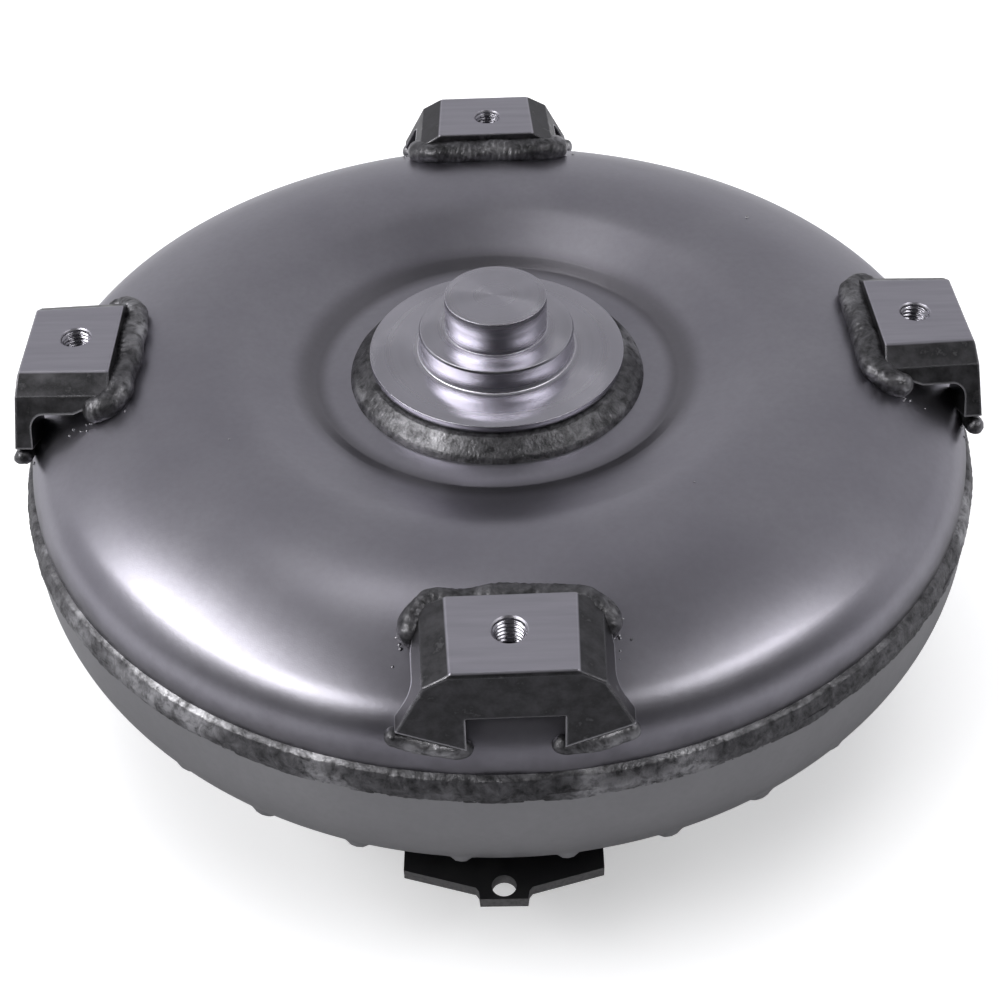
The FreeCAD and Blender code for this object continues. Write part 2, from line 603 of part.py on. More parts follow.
def open_ring(label, inner, outer, top, thick, opening):
    """A snap ring: a flat ring with a gap."""
    body = new_body(label)
    feature = revolve(body, rectangle(inner, outer, "%s - %s" % (top, thick), top))
    feature.Angle = 360 - opening
    document.recompute()
    return finish_part(body)


def washer(label, inner, outer, top, thick):
    return finish_part(turned(label, rectangle(inner, outer, "%s - %s" % (top, thick), top)))


# ---------------------------------------------------------------- blades and core rings

def core_ring(label, side):
    """Half of the hollow core ring: side is -1 below the plane between the wheels and 1 above it."""
    turn = "-" if side < 0 else ""
    back = "" if side < 0 else "-"
    sign = "-" if side < 0 else "+"
    level = "passage_z %s blade_tip_gap" % sign
    corners = []
    for arc, first, second in (("core_arc", "+", "-"), ("(core_arc - core_sheet)", "-", "+")):
        reach = "sqrt(%s^2 - blade_tip_gap^2)" % arc
        way = turn if arc == "core_arc" else back
        corners += [("passage_r %s %s" % (first, reach), level),
                    ("passage_r", "passage_z %s %s" % (sign, arc), way + arc),
                    ("passage_r %s %s" % (second, reach), level, way + arc)]
    return finish_part(turned(label, corners))


def blade_row(label, side, bowl_r, bowl_z, bowl_arc, tip_r, bend, count):
    """One row of bent blades: a strip of a cylinder, trimmed to the flow passage and repeated round Z."""
    middle_r, middle_z = value("passage_r"), value("passage_z")
    core = value("core_arc") + 0.1
    arc = bowl_arc - 0.1
    level = middle_z + side * value("blade_tip_gap")

    def on_circle(centre_r, centre_z, radius, angle):
        # Angles run from straight outwards towards the row's own side.
        return FreeCAD.Vector(centre_r + radius * math.cos(math.radians(angle)), 0,
                              centre_z + side * radius * math.sin(math.radians(angle)))

    tip_angle = math.degrees(math.acos((tip_r - bowl_r) / arc))
    core_start = math.degrees(math.asin(value("blade_tip_gap") / core))
    shell_end, core_end = 136, 146
    tip = FreeCAD.Vector(tip_r, 0, level)
    edges = [
        Part.LineSegment(on_circle(middle_r, middle_z, core, core_start), tip).toShape(),
        Part.LineSegment(tip, on_circle(bowl_r, bowl_z, arc, tip_angle)).toShape(),
        Part.Arc(*[on_circle(bowl_r, bowl_z, arc, a) for a in (tip_angle, 80, shell_end)]).toShape(),
        Part.LineSegment(on_circle(bowl_r, bowl_z, arc, shell_end),
                         on_circle(middle_r, middle_z, core, core_end)).toShape(),
        Part.Arc(*[on_circle(middle_r, middle_z, core, a) for a in (core_end, 80, core_start)]).toShape(),
    ]
    passage = Part.Face(Part.Wire(edges)).revolve(FreeCAD.Vector(), FreeCAD.Vector(0, 0, 1), 360)
    # The strip is the part of a tube's wall that lies between the passage's inner and outer radius.
    height = value("rim_r")
    bottom = middle_z - height / 2
    offset = math.sqrt(bend ** 2 - (value("bowl_arc") * 0.75) ** 2)
    centre = FreeCAD.Vector(middle_r, offset, bottom)
    tube = Part.makeCylinder(bend, height, centre).cut(
        Part.makeCylinder(bend - value("blade_sheet"), height, centre))
    strip = tube.common(Part.makeBox(2 * value("bowl_arc"), offset, height,
                                     FreeCAD.Vector(middle_r - value("bowl_arc"), -bend / 2, bottom)))
    blade = strip.common(passage)
    blades = []
    for number in range(int(count)):
        turn = FreeCAD.Placement(FreeCAD.Vector(), FreeCAD.Rotation(FreeCAD.Vector(0, 0, 1), number * 360 / count))
        blades.append(blade.transformed(turn.toMatrix()))
    row = document.addObject("Part::Feature", label)
    row.Label = label
    row.Shape = Part.Compound([solid for shape in blades for solid in shape.Solids])
    return finish_part(row)


# ---------------------------------------------------------------- turbine

def make_turbine_shell():
    """Pressed bowl of the turbine, whose flat middle is riveted to the hub."""
    inner_arc = "(turbine_arc - turbine_sheet)"
    flat_out = "(turbine_flange_z - turbine_sheet)"
    outer_r = "(passage_r - sqrt(turbine_arc^2 - (turbine_flange_z - passage_z)^2))"
    inner_r = "(passage_r - sqrt(%s^2 - (%s - passage_z)^2))" % (inner_arc, flat_out)
    top = "passage_z + blade_tip_gap"
    body = turned("turbine_shell", [
        ("passage_r + sqrt(turbine_arc^2 - blade_tip_gap^2)", top),
        ("passage_r", "passage_z + turbine_arc", "turbine_arc"), (outer_r, "turbine_flange_z", "turbine_arc"),
        ("turbine_step_r + 0.1", "turbine_flange_z"), ("turbine_step_r + 0.1", flat_out), (inner_r, flat_out),
        ("passage_r", "passage_z + " + inner_arc, "-" + inner_arc),
        ("passage_r + sqrt(%s^2 - blade_tip_gap^2)" % inner_arc, top, "-" + inner_arc)])
    drill_rivet_holes(body)
    return finish_part(body)


def drill_rivet_holes(body):
    def hole(sketch):
        circle(sketch, "rivet_circle_r", "0", "3.1")

    around(body, extrude(body, "XY_Plane", hole, "60", cut=True), "rivet_count")


def cut_spline(body, root_r, teeth):
    """Cut the tooth spaces of an inside spline in a bore that has the teeth's inner radius."""
    half = "(%s * 0.045)" % root_r

    def space(sketch):
        outline(sketch, [("%s - spline_depth - 1" % root_r, "-" + half), (root_r, "-%s * 0.75" % half),
                         (root_r, half + " * 0.75"), ("%s - spline_depth - 1" % root_r, half)])

    around(body, extrude(body, "XY_Plane", space, "2 * rim_r", cut=True), teeth)


def make_turbine_hub():
    """Splined hub that carries the turbine on the gearbox input shaft."""
    body = turned("turbine_hub", [
        ("turbine_spline_r - spline_depth", "turbine_nose_z"), ("turbine_nose_r - 0.8", "turbine_nose_z"),
        ("turbine_nose_r", "turbine_nose_z - 0.8"), ("turbine_nose_r", TURBINE_FRONT),
        ("turbine_hub_r", TURBINE_FRONT), ("turbine_hub_r", "turbine_flange_z"),
        ("turbine_step_r", "turbine_flange_z"), ("turbine_step_r", TURBINE_REAR), ("turbine_nose_r", TURBINE_REAR),
        ("turbine_nose_r", "turbine_boss_z + 0.8"), ("turbine_nose_r - 0.8", "turbine_boss_z"),
        ("turbine_spline_r - spline_depth", "turbine_boss_z")])
    drill_rivet_holes(body)
    cut_spline(body, "turbine_spline_r", "turbine_teeth")
    return finish_part(body)


def make_rivets():
    """Rivets, each with a shank and a flat round head on either side."""
    body = new_body("turbine_rivets")
    flat_out = "(turbine_flange_z - turbine_sheet)"

    def disc(radius):
        return lambda sketch: circle(sketch, "rivet_circle_r", "0", radius)

    features = [
        extrude(body, "XY_Plane", disc("3"), "%s - %s" % (TURBINE_FRONT, flat_out), offset=flat_out),
        extrude(body, "XY_Plane", disc("5"), "1.6", offset=TURBINE_FRONT),
        extrude(body, "XY_Plane", disc("5"), "1.6", offset=flat_out + " - 1.6")]
    around(body, features, "rivet_count")
    return finish_part(body)


# ---------------------------------------------------------------- stator and one-way clutch

def make_stator_wheel():
    """Cast wheel: a hub ring, cambered vanes and a thin outer ring."""
    body = turned("stator_wheel", [
        ("stator_rim_r", "stator_top_z"), ("cap_seat_r", "stator_top_z"), ("cap_seat_r", FRONT_CAP + " + 1.3"),
        ("ring_groove_r", FRONT_CAP + " + 1.3"), ("ring_groove_r", FRONT_CAP), ("cap_seat_r", FRONT_CAP),
        ("cap_seat_r", FRONT_CAP + " - cap_thick"), ("clutch_bore_r", FRONT_CAP + " - cap_thick"),
        ("clutch_bore_r", REAR_CAP + " + cap_thick"), ("cap_seat_r", REAR_CAP + " + cap_thick"),
        ("cap_seat_r", REAR_CAP), ("ring_groove_r", REAR_CAP), ("ring_groove_r", REAR_CAP + " - 1.3"),
        ("cap_seat_r", REAR_CAP + " - 1.3"), ("cap_seat_r", "stator_end_z"), ("stator_rim_r", "stator_end_z")])
    nose, tail = "passage_z + 10.6", "passage_z - 12.6"

    def section(sketch):
        outline(sketch, [("8", nose + " - 3", "24"), ("3", nose, "3.2"), ("-9", tail, "38")])

    vane = extrude(body, "XZ_Plane", section, "stator_shroud_r - stator_rim_r + 4", reverse=True,
                   offset="3 - stator_rim_r")
    around(body, vane, "stator_vane_count")
    revolve(body, rectangle("stator_shroud_r", "stator_shroud_r + 2", "passage_z - 11", "passage_z + 11"))
    return finish_part(body)


def make_outer_race():
    """Cam ring pressed into the stator, with a pocket for each roller and its spring."""
    body = turned("clutch_outer_race", rectangle(
        "outer_race_bore_r", "clutch_bore_r", REAR_CAP + " + cap_thick", FRONT_CAP + " - cap_thick"))

    def seat(sketch):
        circle(sketch, "inner_race_r + roller_r + 0.1", "0", "roller_r + 0.15")

    def spring_room(sketch):
        outline(sketch, rectangle("outer_race_bore_r - 1", "inner_race_r + 2 * roller_r - 0.8",
                                  "roller_r * 0.6", "roller_r + spring_pocket"))

    pockets = [extrude(body, "XY_Plane", seat, "2 * rim_r", cut=True),
               extrude(body, "XY_Plane", spring_room, "2 * rim_r", cut=True)]
    around(body, pockets, "roller_count")
    return finish_part(body)


def make_rollers():
    body = new_body("clutch_rollers")

    def disc(sketch):
        circle(sketch, "inner_race_r + roller_r + 0.1", "0", "roller_r")

    length = "%s - %s - 2 * cap_thick - 1.2" % (FRONT_CAP, REAR_CAP)
    roller = extrude(body, "XY_Plane", disc, length, offset=REAR_CAP + " + cap_thick + 0.6")
    around(body, roller, "roller_count")
    return finish_part(body)


def make_springs():
    """Folded leaf springs that push the rollers towards the narrow end of their pockets."""
    folds = 6
    low, high = value("outer_race_bore_r + 0.8"), value("inner_race_r + 2 * roller_r - 1.4")
    start, end = value("roller_r + 0.8"), value("roller_r + spring_pocket - 0.4")
    bottom, length = value(REAR_CAP + " + cap_thick + 2"), value(FRONT_CAP + " - %s - 2 * cap_thick - 4" % REAR_CAP)
    zigzag = [FreeCAD.Vector(high if n % 2 else low, start + (end - start) * n / folds, bottom)
              for n in range(folds + 1)]
    leaf = Part.Face(Part.makePolygon(zigzag).makeOffset2D(0.15)).extrude(FreeCAD.Vector(0, 0, length))
    count = int(value("roller_count"))
    springs = document.addObject("Part::Feature", "clutch_springs")
    springs.Label = "clutch_springs"
    springs.Shape = Part.Compound([leaf.rotated(FreeCAD.Vector(), FreeCAD.Vector(0, 0, 1), n * 360 / count)
                                   for n in range(count)])
    return finish_part(springs)


def make_inner_race():
    """Splined sleeve that the gearbox's stator shaft holds still."""
    body = turned("clutch_inner_race", rectangle(
        "race_spline_r - spline_depth", "inner_race_r", REAR_CAP + " + cap_thick + race_end_gap",
        FRONT_CAP + " - cap_thick - race_end_gap"))
    cut_spline(body, "race_spline_r", "race_teeth")
    return finish_part(body)


# ---------------------------------------------------------------- needle thrust bearings

def bearing(name, inner, outer, top, upper_race, lower_race):
    """Two race washers with a cage of radial needles between them; top is the upper washer's upper face."""
    middle = "(%s - race_plate - needle_gap / 2)" % top
    washer(upper_race, inner, outer, top, "race_plate")
    washer(lower_race, inner, outer, "(%s - race_plate - needle_gap)" % top, "race_plate")
    cage = turned(name + "_cage", rectangle(inner + " + 0.5", outer + " - 0.5", middle + " - 0.7", middle + " + 0.7"))

    def window(sketch):
        outline(sketch, rectangle(inner + " + 1.9", outer + " - 1.9", "-needle_r - 0.1", "needle_r + 0.1"))

    around(cage, extrude(cage, "XY_Plane", window, "2 * rim_r", cut=True), "needle_count")
    finish_part(cage)
    needles = new_body(name + "_needles")

    def round_end(sketch):
        circle(sketch, "0", middle, "needle_r")

    needle = extrude(needles, "YZ_Plane", round_end, "%s - %s - 4" % (outer, inner), offset=inner + " + 2")
    around(needles, needle, "needle_count")
    finish_part(needles)


make_front_cover()
make_pilot_hub()
make_pilot_weld()
for lug_name, lug_azimuth in (("drive_lug_front", -90), ("drive_lug_right", 0),
                              ("drive_lug_rear", 90), ("drive_lug_left", 180)):
    make_drive_lug(lug_name, lug_azimuth)
make_lug_welds()
make_seam_weld()
make_impeller_shell()
make_pump_hub()
make_hub_weld()
make_strap()
open_ring("strap_circlip", "pump_hub_r - 1.4", "pump_hub_r + 3.5", "(strap_z - strap_thick - 0.2)", "1.8", 35)

core_ring("impeller_core_ring", -1)
core_ring("turbine_core_ring", 1)
blade_row("impeller_blades", -1, value(BOWL_R), value("bowl_z"), value(FLOW_ARC), value("passage_r + turbine_arc"),
          90, value("impeller_blade_count"))
blade_row("turbine_blades", 1, value("passage_r"), value("passage_z"), value("turbine_arc - turbine_sheet"),
          value("passage_r + turbine_arc - 3.5"), 55, value("turbine_blade_count"))

make_turbine_shell()
make_turbine_hub()
make_rivets()
make_stator_wheel()
make_outer_race()
make_rollers()
make_springs()
make_inner_race()
washer("stator_front_cap", "cap_bore_r", "cap_seat_r - 0.2", FRONT_CAP, "cap_thick")
washer("stator_rear_cap", "cap_bore_r", "cap_seat_r - 0.2", "(%s + cap_thick)" % REAR_CAP, "cap_thick")
open_ring("front_snap_ring", "cap_seat_r - 1.8", "ring_groove_r - 0.2", "(%s + 1.2)" % FRONT_CAP, "1.2", 25)
open_ring("rear_snap_ring", "cap_seat_r - 1.8", "ring_groove_r - 0.2", REAR_CAP, "1.2", 25)
bearing("front_bearing", "front_bearing_in_r", "front_bearing_out_r", "front_seat_z",
        "cover_race", "turbine_front_race")
bearing("middle_bearing", "stator_bearing_in_r", "stator_bearing_out_r", TURBINE_REAR,
        "turbine_rear_race", "stator_front_race")
bearing("rear_bearing", "stator_bearing_in_r", "stator_bearing_out_r", REAR_CAP,
        "stator_rear_race", "impeller_race")

# ---------------------------------------------------------------- check and write

document.recompute()
for item in document.Objects:
    if "Invalid" in item.State or "Error" in item.State:
        raise RuntimeError("%s failed: %s" % (item.Label, item.State))
for piece in parts:
    if piece.Shape.isNull() or not piece.Shape.isValid():
        raise RuntimeError(piece.Label + " has no valid shape")
os.makedirs("parts", exist_ok=True)
for piece in parts:
    piece.Shape.exportStep("parts/%s.step" % piece.Label)
    box = piece.Shape.BoundBox
    print("%-24s solids %3d  volume %9.0f  z %7.1f..%7.1f" % (
        piece.Label, len(piece.Shape.Solids), piece.Shape.Volume, box.ZMin, box.ZMax))
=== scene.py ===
# %% [markdown]
# # A torque converter, dressed for its portrait
# A torque converter is a welded steel doughnut that joins an engine to a gearbox through oil. Its outside is
# a pressed dome, a turned pilot hub, four forged lugs and a few rough welds. This lesson loads the finished
# solids, then gives each visible piece the surface that its maker left on it: blasted, turned, milled, welded
# or painted. Lengths are in metres, and the engine side is up.

# %% Load the solids
import json
import math
import bmesh
import bpy
import numpy as np
from mathutils import Matrix, Vector


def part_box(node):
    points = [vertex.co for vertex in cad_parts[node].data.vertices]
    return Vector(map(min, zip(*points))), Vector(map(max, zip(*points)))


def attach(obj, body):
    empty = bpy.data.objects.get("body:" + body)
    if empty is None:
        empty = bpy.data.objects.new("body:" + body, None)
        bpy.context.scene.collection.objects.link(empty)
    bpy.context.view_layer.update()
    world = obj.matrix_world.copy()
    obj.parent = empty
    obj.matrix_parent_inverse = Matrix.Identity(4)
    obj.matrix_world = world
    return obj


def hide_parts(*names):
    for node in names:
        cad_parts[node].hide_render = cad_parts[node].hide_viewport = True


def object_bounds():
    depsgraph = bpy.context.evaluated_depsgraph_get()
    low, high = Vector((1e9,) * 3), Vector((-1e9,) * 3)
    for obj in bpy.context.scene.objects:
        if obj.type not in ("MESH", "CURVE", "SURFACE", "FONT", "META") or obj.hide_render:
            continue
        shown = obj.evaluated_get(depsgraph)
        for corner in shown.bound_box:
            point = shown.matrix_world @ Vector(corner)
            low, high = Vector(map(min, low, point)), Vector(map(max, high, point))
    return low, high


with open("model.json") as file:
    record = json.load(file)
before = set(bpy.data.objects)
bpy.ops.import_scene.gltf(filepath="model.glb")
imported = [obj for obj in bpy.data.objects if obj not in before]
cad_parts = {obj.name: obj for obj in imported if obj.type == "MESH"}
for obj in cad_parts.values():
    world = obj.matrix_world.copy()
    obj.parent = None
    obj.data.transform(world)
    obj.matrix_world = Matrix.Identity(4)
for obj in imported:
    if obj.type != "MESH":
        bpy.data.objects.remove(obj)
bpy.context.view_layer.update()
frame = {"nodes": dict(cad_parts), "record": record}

MM = 0.001
NODES = frame["nodes"]

# %% [markdown]
# ## Sizes that the solids already know
# A piece that is made again must land exactly where the solid was. So radii and heights are read from each
# solid's box, and only the radii of the pressing dies, which a box can't tell, are written down here.

# %% Read radii and heights from the boxes


def reach(node):
    """Largest distance from the axis of a round piece: half the width of its box."""
    low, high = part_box(node)
    return (high.x - low.x) / 2


def heights(node):
    """Lowest and highest point of a piece."""
    low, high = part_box(node)
    return low.z, high.z


SKIRT_R = round(reach("front_cover"), 4)
COVER_END, CROWN_Z = heights("front_cover")
RIM_R = 0.1678
FLOOR_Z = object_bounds()[0].z
SHEET = 5.0 * MM
print("skirt radius", SKIRT_R, "crown", CROWN_Z, "stands at", FLOOR_Z)

# %% [markdown]
# ## Two ways to draw a section
# Every pressed or turned piece is a section carried round the axis. A pressing is drawn with long arcs that run
# into each other, and a turned piece is drawn with corners that a tool has broken. Both end as one array of
# (radius, height) rows.

# %% Arcs and broken corners


def arc(centre, radius, start, end, steps=24):
    """Points centre + radius * (cos a, sin a), for angles a from start to end in degrees."""
    angle = np.radians(np.linspace(start, end, steps))
    return np.stack([centre[0] + radius * np.cos(angle), centre[1] + radius * np.sin(angle)], axis=1)


def broken(corners, steps=6):
    """A closed outline whose corners (x, y, radius) are replaced by arcs that touch both sides.

    The arc starts radius / tan(half the inside angle) before the corner and ends as far behind it.
    """
    pieces = []
    count = len(corners)
    for index, (x, y, radius) in enumerate(corners):
        here = np.array([x, y])
        before = np.array(corners[index - 1][:2]) - here
        after = np.array(corners[(index + 1) % count][:2]) - here
        before, after = before / np.linalg.norm(before), after / np.linalg.norm(after)
        if radius <= 0:
            pieces.append(here[None, :])
            continue
        half = math.acos(np.clip(before @ after, -1, 1)) / 2
        middle = (before + after) / np.linalg.norm(before + after)
        centre = here + middle * radius / math.sin(half)
        start = here + before * radius / math.tan(half) - centre
        end = here + after * radius / math.tan(half) - centre
        first, last = math.atan2(start[1], start[0]), math.atan2(end[1], end[0])
        turn = (last - first + math.pi) % (2 * math.pi) - math.pi
        pieces.append(arc(centre, radius, math.degrees(first), math.degrees(first + turn), steps))
    return np.concatenate(pieces)


def divided(outline, longest):
    """The closed outline with its long sides cut into equal runs no longer than the given length."""
    following = np.roll(outline, -1, axis=0)
    length = np.linalg.norm(following - outline, axis=1)
    cuts = np.maximum(1, np.ceil(length / longest).astype(int))
    start = np.repeat(outline, cuts, axis=0)
    side = np.repeat(following - outline, cuts, axis=0)
    first = np.repeat(np.cumsum(cuts) - cuts, cuts)
    share = (np.arange(cuts.sum()) - first) / np.repeat(cuts, cuts)
    return start + side * share[:, None]


print("a square with broken corners:", len(broken([(0, 0, 1), (9, 0, 1), (9, 9, 1), (0, 9, 1)])), "points")

# %% [markdown]
# ## From arrays to a mesh
# A surface is a grid of points, and its faces are the same four-cornered pattern over and over, so both are
# worked out as whole arrays and handed to Blender in one go. The second direction always closes on itself. The
# same distances along the grid become the piece's own UV map, which the grain of a turned surface follows.

# %% Grids and pieces


def grid_faces(rows, columns, wrap_rows):
    """Corner numbers of the quads between neighbouring rows and columns; the columns always wrap."""
    row = np.arange(rows if wrap_rows else rows - 1)[:, None]
    column = np.arange(columns)[None, :]
    next_row, next_column = (row + 1) % rows, (column + 1) % columns
    quads = np.stack([row * columns + column, row * columns + next_column,
                      next_row * columns + next_column, next_row * columns + column], axis=-1)
    return quads.reshape(-1, 4)


def close_points(piece, distance=1e-6):
    """Merge points that lie on each other, so that poles and seams are closed."""
    work = bmesh.new()
    work.from_mesh(piece.data)
    bmesh.ops.remove_doubles(work, verts=work.verts, dist=distance)
    work.to_mesh(piece.data)
    work.free()


def new_piece(name, points, quads, uv=None, sharp=35):
    """Make an object from an array of points and an array of quads, and mark its sharp edges."""
    mesh = bpy.data.meshes.new(name)
    mesh.vertices.add(len(points))
    mesh.vertices.foreach_set("co", np.ascontiguousarray(points, dtype=np.float32).ravel())
    mesh.loops.add(quads.size)
    mesh.loops.foreach_set("vertex_index", quads.astype(np.int32).ravel())
    mesh.polygons.add(len(quads))
    mesh.polygons.foreach_set("loop_start", np.arange(0, quads.size, 4, dtype=np.int32))
    mesh.update(calc_edges=True)
    if uv is not None:
        mesh.uv_layers.new(name="along").data.foreach_set("uv", uv.astype(np.float32).ravel())
    mesh.polygons.foreach_set("use_smooth", np.ones(len(quads), dtype=bool))
    mesh.validate()
    piece = bpy.data.objects.new(name, mesh)
    bpy.context.scene.collection.objects.link(piece)
    close_points(piece)
    mesh.set_sharp_from_angle(angle=math.radians(sharp))
    return piece


print("a grid of 3 by 4 points:", len(grid_faces(3, 4, wrap_rows=False)), "faces")

# %% [markdown]
# ## Rings
# Most of this object is round, so most pieces are rings. A closed section is carried round an upright line, and its
# unevenness is pushed along the section's own normal. A Screw modifier would do the same for an even section, but the
# array lets every point have its own push.

# %% Rings


def ring(name, outline, around=512, swell=None, sharp=35, centre=(0.0, 0.0)):
    """Carry a closed outline of (radius, height) round an upright line through centre.

    Point (i, j) is centre + (r cos a, r sin a) at height z, for outline point i and angle a = 2 pi j / around.
    swell(a, r, z) is added along the outline's outward normal.
    """
    area = np.sum(outline[:, 0] * np.roll(outline[:, 1], -1) - np.roll(outline[:, 0], -1) * outline[:, 1])
    if area < 0:
        outline = outline[::-1]
    side = np.roll(outline, -1, axis=0) - np.roll(outline, 1, axis=0)
    side /= np.maximum(np.linalg.norm(side, axis=1), 1e-12)[:, None]
    angle = 2 * np.pi * np.arange(around) / around
    radius = np.repeat(outline[:, :1], around, axis=1)
    height = np.repeat(outline[:, 1:], around, axis=1)
    if swell is not None:
        push = swell(angle[None, :] + 0 * radius, radius, height)
        radius = radius + push * side[:, 1:]
        height = height - push * side[:, :1]
    points = np.stack([centre[0] + radius * np.cos(angle), centre[1] + radius * np.sin(angle), height],
                      axis=-1).reshape(-1, 3)
    quads = grid_faces(len(outline), around, wrap_rows=True)
    run = np.concatenate([[0], np.cumsum(np.linalg.norm(np.diff(outline, axis=0), axis=1))])
    along = run[quads // around]
    turn = (quads % around) / around
    turn = np.where((turn == 0) & (turn[:, 1:3].max(axis=1, keepdims=True) > 0.5), 1.0, turn)
    turn[:, 1:3] = np.where(turn[:, 1:3] == 0, 1.0, turn[:, 1:3])
    uv = np.stack([turn, along], axis=-1)
    return new_piece(name, points, quads, uv, sharp)


print("a ring's faces run round it, and its UV map holds (turns, distance along the section)")

# %% [markdown]
# ## Beads along a path
# A hand weld is a bead on a wandering path. A curve with a round bevel would be as thick everywhere, so the bead is a
# tube of its own, whose radius may change with every step and which is rounded off at both ends.

# %% Beads


def smooth_path(corners, step):
    """A soft curve near the corner points: cut into equal steps, then averaged with its neighbours."""
    corners = np.array(corners, dtype=float)
    run = np.concatenate([[0], np.cumsum(np.linalg.norm(np.diff(corners, axis=0), axis=1))])
    place = np.linspace(0, run[-1], max(8, int(run[-1] / step)))
    path = np.stack([np.interp(place, run, corners[:, axis]) for axis in range(3)], axis=1)
    for pass_number in range(int(2.0 * MM / step) ** 2 // 2 + 2):
        path[1:-1] = (path[:-2] + 2 * path[1:-1] + path[2:]) / 4
    return path


def tube(corners, radius, step, around, swell):
    """Points and quads of a round bead along a path, with rounded ends.

    p(s, a) = c(s) + R (n cos a + b sin a), where n is level and b completes the frame. R is the radius times
    sqrt(1 - u * u) in the last radius before each end, where u runs from 0 to 1, plus swell(a, s).
    """
    path = smooth_path(corners, step)
    along = np.gradient(path, axis=0)
    along /= np.linalg.norm(along, axis=1)[:, None]
    level = np.cross(along, [0.0, 0.0, 1.0])
    level /= np.linalg.norm(level, axis=1)[:, None]
    other = np.cross(level, along)
    run = np.concatenate([[0], np.cumsum(np.linalg.norm(np.diff(path, axis=0), axis=1))])
    to_end = np.clip(1 - np.minimum(run, run[-1] - run) / radius, 0, 1)
    angle = 2 * np.pi * np.arange(around) / around
    taper = np.sqrt(np.maximum(1 - to_end ** 2, 0))[:, None]
    size = (radius + swell(angle[None, :], run[:, None])) * taper
    points = (path[:, None, :] + size[..., None] * (level[:, None, :] * np.cos(angle)[None, :, None]
                                                     + other[:, None, :] * np.sin(angle)[None, :, None]))
    return points.reshape(-1, 3), grid_faces(len(path), around, wrap_rows=False)


def joined(shapes):
    """Several (points, quads) pairs as one pair."""
    starts = np.cumsum([0] + [len(points) for points, quads in shapes[:-1]])
    return (np.concatenate([points for points, quads in shapes]),
            np.concatenate([quads + start for (points, quads), start in zip(shapes, starts)]))


print("a bead from three corners:", len(smooth_path([(0, 0, 0), (0.01, 0, 0), (0.01, 0.01, 0)], 0.5 * MM)), "steps")

# %% [markdown]
# ## Dressing a piece
# A finished piece gets its metal, says which body it moves with, and says which solids it stands for. The four lugs
# are alike, so whatever belongs to a lug is made once and turned into place.

# %% Dressing and turning


def turned_by(points, degrees):
    """Points turned round Z."""
    a = math.radians(degrees)
    return points @ np.array([[math.cos(a), math.sin(a), 0], [-math.sin(a), math.cos(a), 0], [0, 0, 1]])


def finish(piece, material, body, *stands_for):
    """Give a piece its material and its body, and let it stand for solids."""
    piece.data.materials.clear()
    piece.data.materials.append(material)
    if stands_for:
        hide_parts(*stands_for)
    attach(piece, body)
    print("%-22s %7d faces on %s" % (piece.name, len(piece.data.polygons), body))


print("one millimetre turned by 90 degrees:", turned_by(np.array([MM, 0.0, 0.0]), 90).round(6))

# %% [markdown]
# ## Unevenness, as a sum of waves
# No press or welder leaves a perfect surface. A sum of a few dozen cosine waves with random directions and
# phases gives soft unevenness that closes on itself round the axis, because each wave goes round a whole number of
# times. The seed is fixed, so that the piece is the same each time.

# %% Waves round the axis


def waves(seed, low, high, tall, count=40, power=0.5):
    """A function of (angle, length) that sums cosines cos(k a + m s + p) and stays near -1..1.

    k is a whole number of waves round the axis from low to high, m is up to tall waves a metre, and p is a random
    phase. A wave's height falls with the power of its number.
    """
    dice = np.random.default_rng(seed)
    k = dice.integers(low, high + 1, count)
    m = dice.uniform(-tall, tall, count)
    p = dice.uniform(0, 2 * np.pi, count)
    size = 1.0 / np.maximum(k, 1) ** power
    size /= np.sqrt((size ** 2).sum() / 2)

    def height(angle, length):
        total = np.zeros(np.broadcast(angle, length).shape)
        for number in range(count):
            total += size[number] * np.cos(k[number] * angle + 2 * np.pi * m[number] * length + p[number])
        return total / 2

    return height


print("four waves at angle 0:", round(float(waves(1, 1, 4, 1.0, 4)(0.0, 0.0)), 3))

# %% [markdown]
# ## Finishes
# All of the outside is steel, so the finishes differ in how rough they are and in what marks they bear. Each one is
# a Principled shader with metallic set to 1. Noise in the object's own coordinates changes the colour and the
# roughness a little, and a bump gives the grain. A small helper wires the nodes, so that each finish reads as a
# short list of what is seen on the metal.

# %% A small wiring helper


